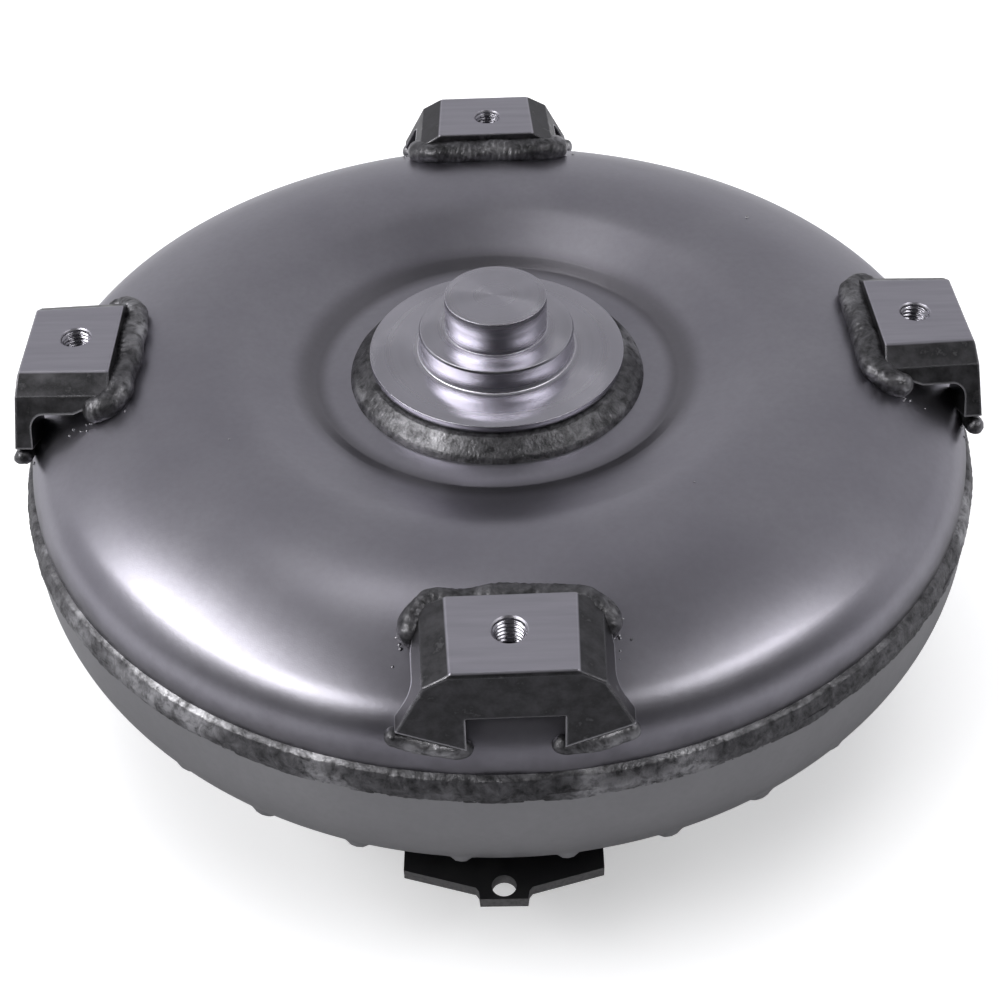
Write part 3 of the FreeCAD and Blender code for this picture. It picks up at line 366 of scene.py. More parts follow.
class Finish:
    """A material whose nodes are wired by short calls."""

    def __init__(self, name, **sockets):
        self.material = bpy.data.materials.new(name)
        self.material.use_nodes = True
        self.tree = self.material.node_tree
        self.shader = self.tree.nodes["Principled BSDF"]
        for socket, value in sockets.items():
            self.shader.inputs[socket.replace("_", " ")].default_value = value
        self.place = self.add("ShaderNodeTexCoord").outputs["Object"]

    def add(self, kind, inputs=None, **settings):
        """A node with settings, whose inputs are numbers or other nodes' outputs."""
        node = self.tree.nodes.new(kind)
        for key, value in settings.items():
            setattr(node, key, value)
        for key, value in (inputs or {}).items():
            self.join(value, node.inputs[key])
        return node

    def join(self, value, socket):
        if isinstance(value, bpy.types.NodeSocket):
            self.tree.links.new(value, socket)
        else:
            socket.default_value = value

    def maths(self, operation, first, second=0.0, third=0.0):
        return self.add("ShaderNodeMath", {0: first, 1: second, 2: third}, operation=operation).outputs[0]

    def noise(self, scale, detail=3.0, rough=0.5, place=None, distortion=0.0):
        """Noise from 0 to 1; scale is in bumps a metre."""
        return self.add("ShaderNodeTexNoise", {
            "Vector": place or self.place, "Scale": scale, "Detail": detail, "Roughness": rough,
            "Distortion": distortion}).outputs["Fac"]

    def spread(self, value, low, high, to_low=0.0, to_high=1.0, smooth=False):
        """value from low..high brought to to_low..to_high, and held at the ends."""
        kind = "SMOOTHSTEP" if smooth else "LINEAR"
        return self.add("ShaderNodeMapRange", {"Value": value, "From Min": low, "From Max": high, "To Min": to_low,
                                               "To Max": to_high}, interpolation_type=kind).outputs[0]

    def mix(self, share, first, second):
        node = self.add("ShaderNodeMix", data_type="RGBA")
        self.join(share, node.inputs[0])
        self.join(first, node.inputs[6])
        self.join(second, node.inputs[7])
        return node.outputs[2]

    def axes(self):
        """Distance from the axis and height, of the point that is shaded."""
        parts = self.add("ShaderNodeSeparateXYZ", {"Vector": self.place}).outputs
        square = self.maths("ADD", self.maths("MULTIPLY", parts[0], parts[0]),
                            self.maths("MULTIPLY", parts[1], parts[1]))
        return self.maths("SQRT", square), parts[2]

    def bump(self, height, strength, distance, below=None):
        inputs = {"Height": height, "Strength": strength, "Distance": distance}
        if below is not None:
            inputs["Normal"] = below
        return self.add("ShaderNodeBump", inputs).outputs["Normal"]

    def set(self, **sockets):
        for socket, value in sockets.items():
            self.join(value, self.shader.inputs[socket.replace("_", " ")])


def grey(level, blue=0.0):
    """A near-neutral colour; blue lifts the blue and takes a little green away."""
    return (level, level * (1 - 0.35 * blue), level * (1 + blue), 1.0)


print("a mid grey with some blue:", grey(0.5, 0.1))

# %% [markdown]
# ## Blasted steel
# The dome and the shell are blasted with fine beads after welding. That leaves a soft satin with a slight violet
# cast, faint clouds where the blast lingered, and a dusting of darker specks. On the dome, two dark bands are painted
# shade: one in the crease round the foot of the ramp, and a ragged one in the undercut just above the seam.

# %% Blasted steel

SEAM_TOP = -39.8 * MM
RAMP_BAND_IN, RAMP_BAND_OUT = (0.058, 0.0635), (0.066, 0.074)
SEAM_BAND_TOP, SEAM_BAND_FOOT, SEAM_BAND_RAGGED = 0.0095, 0.0008, 0.0022
# Painted shade: the dark colour of two bands that stand for shadow in the crease at the ramp's foot and in the
# undercut above the seam.
PAINTED_SHADE_TONE = (0.10, 0.095, 0.10, 1)


def blasted(name, level, blue, rough, shade_depth=0.0):
    """Clouds, specks and two bands of painted shade; the last argument is how dark the bands are, from 0 to 1."""
    look = Finish(name, Metallic=1.0)
    cloud = look.noise(14.0, 4.0, 0.6)
    mottle = look.noise(420.0, 3.0, 0.6)
    speck = look.noise(2600.0, 2.0, 0.5)
    tone = look.mix(look.spread(cloud, 0.3, 0.7), grey(level * 0.9, blue), grey(level * 1.1, blue * 0.8))
    tone = look.mix(look.spread(mottle, 0.35, 0.75, 0.0, 0.22), tone, grey(level * 0.72, blue * 0.5))
    # Painted shade: the two dark bands are shadow painted into the colour, in the crease and in the undercut.
    if shade_depth:
        far, high = look.axes()
        ramp_crease_shade = look.maths("MULTIPLY", look.spread(far, *RAMP_BAND_IN, 0.0, 1.0, True),
                               look.spread(far, *RAMP_BAND_OUT, 1.0, 0.0, True))
        ragged = look.maths("ADD", high, look.spread(look.noise(55.0, 3.0, 0.6), 0.3, 0.7, -SEAM_BAND_RAGGED,
                                                     SEAM_BAND_RAGGED))
        seam_undercut_shade = look.spread(ragged, SEAM_TOP + SEAM_BAND_TOP, SEAM_TOP + SEAM_BAND_FOOT, 0.0, 1.0, True)
        bands = look.maths("MULTIPLY", look.maths("MAXIMUM", ramp_crease_shade, seam_undercut_shade), shade_depth)
        tone = look.mix(bands, tone, PAINTED_SHADE_TONE)
    uneven = look.spread(cloud, 0.3, 0.7, rough - 0.035, rough + 0.035)
    grain = look.bump(speck, 0.10, 0.0002)
    pits = look.bump(mottle, 0.05, 0.0006, grain)
    look.set(Base_Color=tone, Roughness=uneven, Normal=pits)
    return look.material


# The dome's painted shade bands are 0.55 of full darkness.
DOME_STEEL = blasted("dome_blasted_steel", 0.36, 0.10, 0.34, shade_depth=0.55)
SHELL_STEEL = blasted("shell_blasted_steel", 0.42, 0.03, 0.40)
print("finishes:", DOME_STEEL.name, SHELL_STEEL.name)

# %% [markdown]
# ## Turned steel
# The pilot hub comes off a lathe, whose tool leaves fine rings. Rings scatter light across themselves, so the
# shader is told the direction of the rings by the UV map and is made anisotropic. A few coarser rings in the
# roughness keep it from looking computed.

# %% Turned steel


def turned(name, level, rough, stretch):
    """Fine rings at each sum of radius and height; stretch is how much further light spreads across them."""
    look = Finish(name, Metallic=1.0, Anisotropic=stretch)
    far, high = look.axes()
    across = look.maths("ADD", far, high)
    line = look.add("ShaderNodeCombineXYZ", {"X": across, "Y": 0.0, "Z": 0.0}).outputs[0]
    rings = look.noise(2600.0, 2.0, 0.6, line)
    bands = look.noise(300.0, 2.0, 0.5, line)
    stain = look.noise(60.0, 3.0, 0.6)
    tone = look.mix(look.spread(rings, 0.3, 0.7), grey(level * 0.95, 0.08), grey(level * 1.04, 0.07))
    tone = look.mix(look.spread(stain, 0.45, 0.8, 0.0, 0.25), tone, grey(level * 0.7, 0.02))
    look.set(Base_Color=tone, Roughness=look.spread(bands, 0.3, 0.7, rough - 0.03, rough + 0.05),
             Normal=look.bump(rings, 0.02, 0.0001),
             Tangent=look.add("ShaderNodeTangent", direction_type="UV_MAP", uv_map="along").outputs[0])
    return look.material


TURNED_STEEL = turned("turned_steel", 0.52, 0.25, 0.93)
print("finish:", TURNED_STEEL.name)

# %% [markdown]
# ## Weld metal
# A weld cools in ripples and is left as it is. It is darker than the sheet and rough, and here and there a crest
# gets a painted highlight.

# %% Weld metal


def welded(name, level, rough):
    """Dark crust with fine grit; where a slow noise is high, the crests of the crust get a painted highlight."""
    look = Finish(name, Metallic=1.0)
    crust = look.noise(260.0, 5.0, 0.65, distortion=0.4)
    grit = look.noise(1500.0, 3.0, 0.6)
    painted_glint = look.noise(38.0, 2.0, 0.5)
    tone = look.mix(look.spread(crust, 0.35, 0.68), grey(level * 0.4, 0.03), grey(level * 1.3, 0.04))
    # Painted highlight: crests turn bright grey where the slow noise is high.
    tone = look.mix(look.maths("MULTIPLY", look.spread(painted_glint, 0.52, 0.66), look.spread(crust, 0.3, 0.6)), tone,
                    grey(min(level * 3.2, 0.7), 0.03))
    look.set(Base_Color=tone, Roughness=look.spread(grit, 0.3, 0.7, rough - 0.1, rough + 0.14),
             Normal=look.bump(grit, 0.22, 0.0005, look.bump(crust, 0.25, 0.0010)))
    return look.material


WELD_METAL = welded("weld_metal", 0.16, 0.42)
DROP_STEEL = welded("drop_steel", 0.5, 0.28)
print("finishes:", WELD_METAL.name, DROP_STEEL.name)

# %% [markdown]
# ## Forged lugs with milled faces
# The lugs are cut from bar and blasted with the dome, and then their top faces are milled in one plane. One material
# does both: above a height just under the milled plane it turns to bright metal with straight cutter marks. The raw
# edges get a painted highlight. A Bevel node finds them, because its rounded normal leaves the true one only there.

# %% Lug steel

RAW_BELOW, MILLED_ABOVE = -0.0005, -0.0002
# Width of the painted highlight on the raw edges, found by the Bevel node.
EDGE_HIGHLIGHT_WIDTH = 0.0012


def lug_steel(name):
    """Raw scale below, cutter marks above, and a painted highlight on the edges where the two normals part."""
    look = Finish(name, Metallic=1.0)
    milled = look.spread(look.axes()[1], RAW_BELOW, MILLED_ABOVE, 0.0, 1.0)
    scale = look.noise(180.0, 4.0, 0.65)
    grit = look.noise(1700.0, 2.0, 0.5)
    raw = look.mix(look.spread(scale, 0.3, 0.72), grey(0.05, 0.02), grey(0.12, 0.05))
    cutter = look.noise(240.0, 3.0, 0.6, look.add("ShaderNodeMapping", {
        "Vector": look.place, "Rotation": (0.0, 0.0, 0.35), "Scale": (0.12, 1.6, 1.0)}).outputs[0])
    bright = look.mix(look.spread(cutter, 0.3, 0.7), grey(0.43, 0.09), grey(0.50, 0.08))
    plain = look.add("ShaderNodeNewGeometry").outputs["Normal"]
    soft = look.add("ShaderNodeBevel", {"Radius": EDGE_HIGHLIGHT_WIDTH}, samples=6).outputs["Normal"]
    facing = look.add("ShaderNodeVectorMath", {0: plain, 1: soft}, operation="DOT_PRODUCT").outputs["Value"]
    patchy = look.maths("ADD", facing, look.spread(scale, 0.3, 0.7, -0.02, 0.03))
    # Painted highlight: where the Bevel normal parts from the true one, the raw edges turn bright grey.
    raw = look.mix(look.spread(patchy, 0.99, 0.93, 0.0, 0.85), raw, grey(0.62, 0.04))
    rough = look.add("ShaderNodeMix", {0: milled, 2: look.spread(scale, 0.3, 0.7, 0.34, 0.50),
                                       3: look.spread(cutter, 0.0, 1.0, 0.34, 0.40)}).outputs[0]
    height = look.add("ShaderNodeMix", {0: milled, 2: grit, 3: look.maths("MULTIPLY", cutter, 0.25)}).outputs[0]
    look.set(Base_Color=look.mix(milled, raw, bright), Roughness=rough,
             Normal=look.bump(height, 0.18, 0.0003))
    return look.material


LUG_STEEL = lug_steel("lug_steel")
THREAD_STEEL = turned("thread_steel", 0.42, 0.22, 0.0)
print("finishes:", LUG_STEEL.name, THREAD_STEEL.name)

# %% [markdown]
# ## Black paint on sheared plate
# The strap was sheared or laser cut from plate and painted thinly, so the paint has dust and a slight orange peel,
# and its cut edges stay greyer than its faces. A cut edge is a face that looks sideways.

# %% Black paint


def black_paint(name):
    """Black with dust, and grey where the surface looks sideways."""
    look = Finish(name, Metallic=0.0)
    peel = look.noise(900.0, 3.0, 0.5)
    dust = look.noise(70.0, 5.0, 0.7)
    upright = look.add("ShaderNodeSeparateXYZ", {"Vector": look.add("ShaderNodeNewGeometry").outputs["Normal"]})
    flat = look.maths("ABSOLUTE", upright.outputs[2])
    edge = look.spread(flat, 0.3, 0.8, 1.0, 0.0)
    tone = look.mix(look.spread(dust, 0.5, 0.8, 0.0, 0.5), (0.006, 0.006, 0.007, 1), (0.022, 0.021, 0.021, 1))
    tone = look.mix(look.maths("MULTIPLY", edge, look.spread(peel, 0.3, 0.6, 0.5, 1.0)), tone,
                    (0.085, 0.083, 0.085, 1))
    look.set(Base_Color=tone, Roughness=look.spread(dust, 0.3, 0.8, 0.36, 0.6),
             Normal=look.bump(peel, 0.12, 0.0004))
    return look.material


BLACK_PAINT = black_paint("black_paint")
print("finish:", BLACK_PAINT.name)

# %% [markdown]
# ## Everything inside
# The inside is sheet steel, hardened steel, spring steel and die-cast aluminium, all wet with oil. One function
# makes them, with a clear coat as the oil film.

# %% Oily metals


def oily(name, colour, rough, grain, bump=0.1):
    """Cloudy metal under a film of oil; grain is in marks a metre."""
    look = Finish(name, Metallic=1.0, Coat_Weight=0.4, Coat_Roughness=0.12)
    cloud = look.noise(45.0, 4.0, 0.6)
    fine = look.noise(grain, 3.0, 0.6)
    dark = tuple(part * 0.72 for part in colour)
    tone = look.mix(look.spread(cloud, 0.3, 0.72), (*dark, 1.0), (*colour, 1.0))
    look.set(Base_Color=tone, Roughness=look.spread(fine, 0.3, 0.7, rough - 0.05, rough + 0.07),
             Normal=look.bump(fine, bump, 0.0003))
    return look.material


INSIDE = {
    "pressed_steel": oily("pressed_steel", (0.42, 0.42, 0.44), 0.34, 700.0),
    "blade_steel": oily("blade_steel", (0.46, 0.46, 0.47), 0.30, 900.0),
    "hub_steel": oily("ground_steel", (0.50, 0.50, 0.52), 0.22, 1800.0, 0.06),
    "bearing_steel": oily("bearing_steel", (0.60, 0.60, 0.62), 0.12, 2500.0, 0.03),
    "spring_steel": oily("spring_steel", (0.16, 0.17, 0.21), 0.30, 1200.0),
    "cast_aluminium": oily("cast_aluminium", (0.62, 0.62, 0.63), 0.40, 500.0, 0.22),
    "machined_steel": oily("machined_steel", (0.48, 0.48, 0.50), 0.28, 1600.0),
}
OUTSIDE = {"blasted_steel": SHELL_STEEL, "forged_steel": LUG_STEEL, "weld_bead": WELD_METAL,
           "black_paint": BLACK_PAINT}
for sub in frame["record"]["subparts"]:
    solid = NODES[sub["node"]]
    solid.data.materials.clear()
    solid.data.materials.append({**INSIDE, **OUTSIDE}[sub["material_slot"]])
print("materials on", len(NODES), "solids")

# %% [markdown]
# ## The dome
# The cover is one disc of sheet, pressed in a die. Its section is a chain of arcs that run into each other without a
# corner: a flat floor, a ramp, the crown, the long dome and the shoulder. The inside is the same chain, one sheet
# thickness in, so the arcs keep their centres and only their radii change.

# %% The cover's section

FLOOR_TOP = -19.5 * MM
BORE_R = 43.0 * MM
FLOOR_EDGE_R = 64.5 * MM
RAMP_R = 66.0 * MM
RAMP_ANGLE = 21.2
CROWN_R = 105.0 * MM
CROWN_ARC = 50.0 * MM
DOME_ARC = 94.8 * MM
SHOULDER_ARC = 22.0 * MM
SEAM_Z = -46.0 * MM
DOME_CENTRE = (CROWN_R, CROWN_Z - DOME_ARC)
SHOULDER_R = SKIRT_R - SHOULDER_ARC
SHOULDER_Z = DOME_CENTRE[1] + math.sqrt((DOME_ARC - SHOULDER_ARC) ** 2 - (SHOULDER_R - CROWN_R) ** 2)
LEAN = math.degrees(math.atan2(SHOULDER_Z - DOME_CENTRE[1], SHOULDER_R - CROWN_R))


def dome_line(depth):
    """The chain of arcs from the ramp to the skirt, on the surface that lies depth under the outside."""
    return np.concatenate([
        arc((CROWN_R, CROWN_Z - CROWN_ARC), CROWN_ARC - depth, 90 + RAMP_ANGLE, 90, 14),
        arc(DOME_CENTRE, DOME_ARC - depth, 90, LEAN, 40)[1:],
        arc((SHOULDER_R, SHOULDER_Z), SHOULDER_ARC - depth, LEAN, 0, 26)[1:]])


def cover_outline():
    """Outside chain, spigot, and the inside chain walked back, as one closed outline."""
    slope = math.radians(RAMP_ANGLE)
    outside, inside = dome_line(0.0), dome_line(SHEET)
    ramp_foot = outside[0] - (outside[0, 0] - RAMP_R) * np.array([1, math.tan(slope)])
    lower_foot_z = FLOOR_TOP - SHEET
    lower_foot = inside[0] - (inside[0, 1] - lower_foot_z) * np.array([1 / math.tan(slope), 1])
    floor = broken([(BORE_R, FLOOR_TOP, 0), (FLOOR_EDGE_R - 1.2 * MM, FLOOR_TOP, 4 * MM),
                    (ramp_foot[0] + 2.2 * MM, ramp_foot[1] + 0.9 * MM, 9 * MM),
                    (*outside[0], 0), (BORE_R, FLOOR_TOP + 0.02, 0)])[:-1]
    foot = [(SKIRT_R, SEAM_Z), (SKIRT_R - 1.9 * MM, SEAM_Z), (SKIRT_R - 1.9 * MM, COVER_END),
            (SKIRT_R - SHEET, COVER_END)]
    return np.concatenate([floor[:-1], outside, foot, inside[::-1], [lower_foot, (BORE_R, lower_foot_z)]])


DENT_DEPTH, DENTS_FROM = 0.05 * MM, 0.07
DOME_DENTS = waves(3, 1, 9, 8.0, 30, 1.0)
cover = ring("cover", divided(cover_outline(), 3 * MM), 480,
             lambda angle, r, z: DENT_DEPTH * DOME_DENTS(angle, r) * (r > DENTS_FROM))
finish(cover, DOME_STEEL, "housing", "front_cover")

# %% [markdown]
# ## The pilot hub
# A lathe part: a pin, a raised seat and a flange, with small broken edges and a fillet at the foot of each step. The
# broken edges matter, because they catch the bright lines that make it look machined.

# %% The pilot hub

FRONT_SEAT, PILOT_TOP = heights("pilot_hub")
DISC_R = reach("pilot_hub")
PILOT_R = 17.5 * MM
SEAT_R, SEAT_Z = 26.8 * MM, -0.4 * MM
DISC_Z, DISC_EDGE = -9.5 * MM, 2.5 * MM
POCKET_R, POCKET_Z = 20.0 * MM, -13.0 * MM

hub_corners = [
    (0.0, PILOT_TOP, 0), (PILOT_R, PILOT_TOP, 0.35 * MM), (PILOT_R, SEAT_Z, 0.5 * MM),
    (SEAT_R - 0.5 * MM, SEAT_Z, 0.4 * MM), (SEAT_R, SEAT_Z - 0.9 * MM, 0.5 * MM),
    (SEAT_R, DISC_Z, 1.6 * MM), (DISC_R, DISC_Z, 0.3 * MM), (DISC_R, DISC_Z - DISC_EDGE, 0.2 * MM),
    (BORE_R, DISC_Z - DISC_EDGE, 0), (BORE_R, FRONT_SEAT, 0), (POCKET_R, FRONT_SEAT, 0),
    (POCKET_R, POCKET_Z, 0), (0.0, POCKET_Z, 0)]
hub = ring("pilot", divided(broken(hub_corners), 4 * MM), 256, sharp=30)
finish(hub, TURNED_STEEL, "housing", "pilot_hub")

# %% [markdown]
# ## The shell and its tab marks
# The impeller's blades are held by tabs that are pushed through the shell and rolled over. From outside they show as
# a row of small bumps. Each bump is a bell-shaped swelling of the bowl, and all of them come from one formula:
# the distance to the nearest mark, in degrees round the axis and along the bowl.

# %% The impeller shell

BOWL_ARC = 48.0 * MM
BOWL_Z = -59.5 * MM
BOWL_R = RIM_R - BOWL_ARC
FLAT_Z = -90.0 * MM
HUB_FLANGE_R = 48.2 * MM
TAB_COUNT = 30
TAB_ANGLES = (38.0, 114.0)
TAB_HEIGHT = 1.5 * MM


def shell_outline():
    """Bowl outside, flat middle, and the bowl's inside walked back up to the rim."""
    inner_arc = BOWL_ARC - SHEET
    outer_stop = -90 - math.degrees(math.acos((BOWL_Z - FLAT_Z) / BOWL_ARC))
    inner_stop = -90 - math.degrees(math.acos((BOWL_Z - FLAT_Z - SHEET) / inner_arc))
    outer = arc((BOWL_R, BOWL_Z), BOWL_ARC, 0, outer_stop, 90)
    inner = arc((BOWL_R, BOWL_Z), inner_arc, inner_stop, 0, 30)
    return np.concatenate([[(RIM_R, SEAM_Z)], outer, [(HUB_FLANGE_R, FLAT_Z), (HUB_FLANGE_R, FLAT_Z + SHEET)],
                           inner, [(RIM_R - SHEET, SEAM_Z)]])


def tab_marks(angle, r, z):
    """Bell-shaped bumps on the outside of the bowl, at TAB_COUNT even angles and at each of TAB_ANGLES."""
    turn = 2 * np.pi / TAB_COUNT
    sideways = ((angle + turn / 2) % turn - turn / 2) * r
    down = np.degrees(np.arctan2(BOWL_Z - z, r - BOWL_R))
    outside = np.hypot(r - BOWL_R, z - BOWL_Z) > BOWL_ARC - 1 * MM
    total = np.zeros_like(r)
    for place in TAB_ANGLES:
        along = np.radians(down - place) * BOWL_ARC
        total += np.exp(-(sideways / (2.6 * MM)) ** 4 - (along / (4.6 * MM)) ** 4)
    return TAB_HEIGHT * total * outside


shell = ring("shell", divided(shell_outline(), 5 * MM), 600, tab_marks)
finish(shell, SHELL_STEEL, "housing", "impeller_shell")

# %% [markdown]
# ## Welds that go all the way round
# A ring weld is a bead whose section is carried round the axis. Waves make it rise and sink, and quick ripples across
# the bead are the puddles of the torch. The ripples lean, because the puddle trails behind the arc.

# %% Seam weld and pilot weld

SEAM_OUT = 168.4 * MM
SEAM_SWELL = waves(11, 6, 60, 60.0, 40, 0.4)
SEAM_GRIT = waves(12, 90, 620, 500.0, 60, 0.0)


def seam_shape(angle, r, z):
    """Slow rise and fall, ripples every 2 degrees that lean with height, and fine grit, outside only."""
    outside = np.clip((r - SKIRT_R - 0.4 * MM) / (1.5 * MM), 0, 1)
    ripple = np.sin(220 * angle + 700 * z + 3 * SEAM_SWELL(angle, z)) * 0.05
    return MM * outside * (0.34 * SEAM_SWELL(angle, z) + ripple + 0.11 * SEAM_GRIT(angle, z) - 0.35)


seam_corners = [(SKIRT_R - 0.3 * MM, SEAM_TOP, 0), (SEAM_OUT - 1.9 * MM, SEAM_TOP - 0.9 * MM, 1.0 * MM),
                (SEAM_OUT, SEAM_Z + 1.0 * MM, 2.0 * MM), (SEAM_OUT, SEAM_Z - 1.5 * MM, 1.2 * MM),
                (RIM_R - 0.3 * MM, SEAM_Z - 3.2 * MM, 0), (RIM_R - 0.3 * MM, SEAM_Z, 0),
                (SKIRT_R - 0.3 * MM, SEAM_Z, 0)]
seam = ring("seam_bead", divided(broken(seam_corners, 5), 0.8 * MM), 1800, seam_shape, sharp=60)
finish(seam, WELD_METAL, "housing", "seam_weld")

CONE_GRIT = waves(21, 40, 330, 900.0, 60, 0.0)
CONE_ROLL = waves(22, 3, 24, 90.0, 24, 0.3)
cone_corners = [(BORE_R, DISC_Z - DISC_EDGE - 0.6 * MM, 0), (43.6 * MM, DISC_Z - DISC_EDGE - 0.6 * MM, 0),
                (45.6 * MM, DISC_Z - DISC_EDGE - 1.2 * MM, 1.2 * MM), (50.6 * MM, FLOOR_TOP + 2.0 * MM, 4.0 * MM),
                (51.6 * MM, FLOOR_TOP, 0), (BORE_R, FLOOR_TOP, 0)]
cone = ring("pilot_bead", divided(broken(cone_corners), 0.6 * MM), 900,
            lambda angle, r, z: MM * (0.05 * CONE_GRIT(angle, z) + 0.12 * CONE_ROLL(angle, z)) * (r > 45.0 * MM),
            sharp=60)
finish(cone, WELD_METAL, "housing", "pilot_weld")

# %% [markdown]
# ## Beads round the lugs
# A lug is held by a heavy bead round its inner end and by two thin beads under its feet. Each is a tube along a
# soft path that lies where lug and dome meet. Slow waves make it lumpy, and a small ripple along it shows where the
# welder paused.

# %% Lug beads

LUG_ANGLES = (-90, 0, 90, 180)
END_BEAD_R, FOOT_BEAD_R = 4.7 * MM, 2.9 * MM
END_LIFT = 2.8


def dome_height(r):
    """Height of the cover's outside at radius r, on the dome arc or on the shoulder arc."""
    join = CROWN_R + DOME_ARC * (SHOULDER_R - CROWN_R) / (DOME_ARC - SHOULDER_ARC)
    on_dome = DOME_CENTRE[1] + np.sqrt(np.maximum(DOME_ARC ** 2 - (r - CROWN_R) ** 2, 0))
    on_shoulder = SHOULDER_Z + np.sqrt(np.maximum(SHOULDER_ARC ** 2 - (r - SHOULDER_R) ** 2, 0))
    return np.where(r < join, on_dome, on_shoulder)


def lug_bead(corners, radius, turn, seed):
    """One bead of the lug at the angle turn, with lumps of its own."""
    lumps, grit = waves(seed, 1, 3, 70.0, 24, 0.2), waves(seed + 50, 3, 12, 500.0, 40, 0.0)

    def swell(angle, run):
        pause = 0.012 * np.sin(2 * np.pi * run / (2.3 * MM) + 1.2 * np.cos(angle))
        return radius * (0.13 * lumps(angle, run) + 0.025 * grit(angle, run) + pause)

    points, quads = tube(np.array(corners) * MM, radius, 0.35 * MM, 40, swell)
    return turned_by(points, turn), quads


END_RUN = [(139.5, 28.6), (132.0, 27.8), (128.0, 22.5), (127.4, 0.0)]
END_RUN = END_RUN + [(r, -across) for r, across in END_RUN[-2::-1]]
END_RUN = [(r, across, float(dome_height(math.hypot(r, across) * MM)) / MM + END_LIFT) for r, across in END_RUN]
FOOT_RUN = [(161.2, 11.8, -28.2), (162.3, 14.6, -30.4), (162.6, 25.5, -27.6), (161.6, 36.2, -23.6)]
beads = []
for number, turn in enumerate(LUG_ANGLES):
    beads.append(lug_bead(END_RUN, END_BEAD_R, turn, 100 + number))
    for side in (1, -1):
        run = [(r, side * across, z) for r, across, z in FOOT_RUN]
        beads.append(lug_bead(run[::side], FOOT_BEAD_R, turn, 200 + 10 * number + side))
lug_beads = new_piece("lug_beads", *joined(beads), sharp=180)
finish(lug_beads, WELD_METAL, "housing", "lug_welds")

# %% [markdown]
# ## Threads
# Each lug has a tapped hole. A thread is a ring whose wall is pushed inward by a triangle wave, and the wave is
# shifted by one pitch in each turn. The first thread fades out at the countersink.

# %% Threads in the lug holes

PITCH, THREAD_DEPTH, THREAD_R = 1.5 * MM, 0.74 * MM, 5.0 * MM
HOLE_R = 145.0 * MM


def thread(angle, r, z):
    """Depth times the triangle wave of (z / pitch - angle / 2 pi), on the inner wall only."""
    saw = (z / PITCH - angle / (2 * np.pi)) % 1.0
    tooth = np.clip(1.25 - 2.5 * np.abs(saw - 0.5), 0, 1)
    fade = np.clip((-z - 0.7 * MM) / (1.0 * MM), 0, 1)
    return THREAD_DEPTH * tooth * fade * (r < THREAD_R - 0.01 * MM)


for turn, label in zip(LUG_ANGLES, ("front", "right", "rear", "left")):
    wall = np.array([(THREAD_R, -0.6 * MM), (THREAD_R - 0.03 * MM, -0.6 * MM), (THREAD_R - 0.03 * MM, -9.6 * MM),
                     (THREAD_R, -9.6 * MM)])
    a = math.radians(turn)
    lining = ring("thread_" + label, divided(wall, 0.12 * MM), 96, thread, 50,
                  (HOLE_R * math.cos(a), HOLE_R * math.sin(a)))
    finish(lining, THREAD_STEEL, "housing")

# %% [markdown]
# ## Spatter
# Welding throws small drops that stick where they land. Each drop is a squat ball, half sunk in the dome. They lie
# thick near the ends of the beads and thin out quickly.

# %% Spatter


def drops(places, sizes, rings=8, around=12):
    """Points and quads of squat balls: p = place + size * (sin t cos a, sin t sin a, 0.7 cos t)."""
    t = np.linspace(0, np.pi, rings + 1)[:, None]
    a = 2 * np.pi * np.arange(around)[None, :] / around
    ball = np.stack([np.sin(t) * np.cos(a), np.sin(t) * np.sin(a), 0.7 * np.cos(t) + 0 * a], axis=-1).reshape(-1, 3)
    quads = grid_faces(rings + 1, around, wrap_rows=False)[:, ::-1]
    return joined([(place + size * ball, quads) for place, size in zip(places, sizes)])


LUG_SIDE = 30.0
NEAR_END, NEAR_FOOT = (137.0, 4.5, 9), (159.5, 2.0, 4)
STRAY_DROPS, STRAY_SIZES = [(98.0, 76.0, 0.0), (60.0, -78.0, 0.0), (-88.0, -50.0, 0.0)], [0.75, 0.3, 0.3]
dice = np.random.default_rng(7)
spots, sizes = [], []
for turn in LUG_ANGLES:
    for across in (-LUG_SIDE, LUG_SIDE):
        for r0, spread, count in (NEAR_END, NEAR_FOOT):
            r = r0 + dice.normal(0, spread, count)
            s = across + math.copysign(1.5, across) * np.abs(dice.normal(0, 1.8, count))
            spots.append(turned_by(np.stack([r, s, 0 * r], axis=1), turn))
            sizes.append(dice.uniform(0.25, 0.65, count))
spots.append(np.array(STRAY_DROPS))
sizes.append(np.array(STRAY_SIZES))
spots, sizes = np.concatenate(spots) * MM, np.concatenate(sizes) * MM
far = np.hypot(spots[:, 0], spots[:, 1])
spots[:, 2] = dome_height(far)
kept = far < SKIRT_R - 1 * MM
spatter = new_piece("spatter", *drops(spots[kept], sizes[kept]), sharp=180)
finish(spatter, DROP_STEEL, "housing")

# %% [markdown]
# ## The floor
# Bare metal shows whatever stands round it, so the stage matters as much as the metal. The floor is one pale square
# just under the hub's end. It is not quite an honest floor: mirrored rays find it darker near the front of the
# object, which keeps the front faces dark. It also glows a little, but only straight into the camera, so that it
# stays white behind the object, and it is clear from below, so that the underside can be seen.

# %% Floor

FLOOR_HALF, FLOOR_GAP = 6.0, 0.2 * MM
FLOOR_PALE = (0.88, 0.88, 0.89, 1.0)
MIRRORED_FRONT, MIRRORED_BACK = (0.30, 0.30, 0.31, 1.0), (0.86, 0.86, 0.88, 1.0)
BACK_FROM, BACK_TO = -0.1, 0.5
SIDE_FROM, SIDE_TO, SIDE_SHARE = 0.15, 0.6, 0.75
CAMERA_GLOW = 0.38


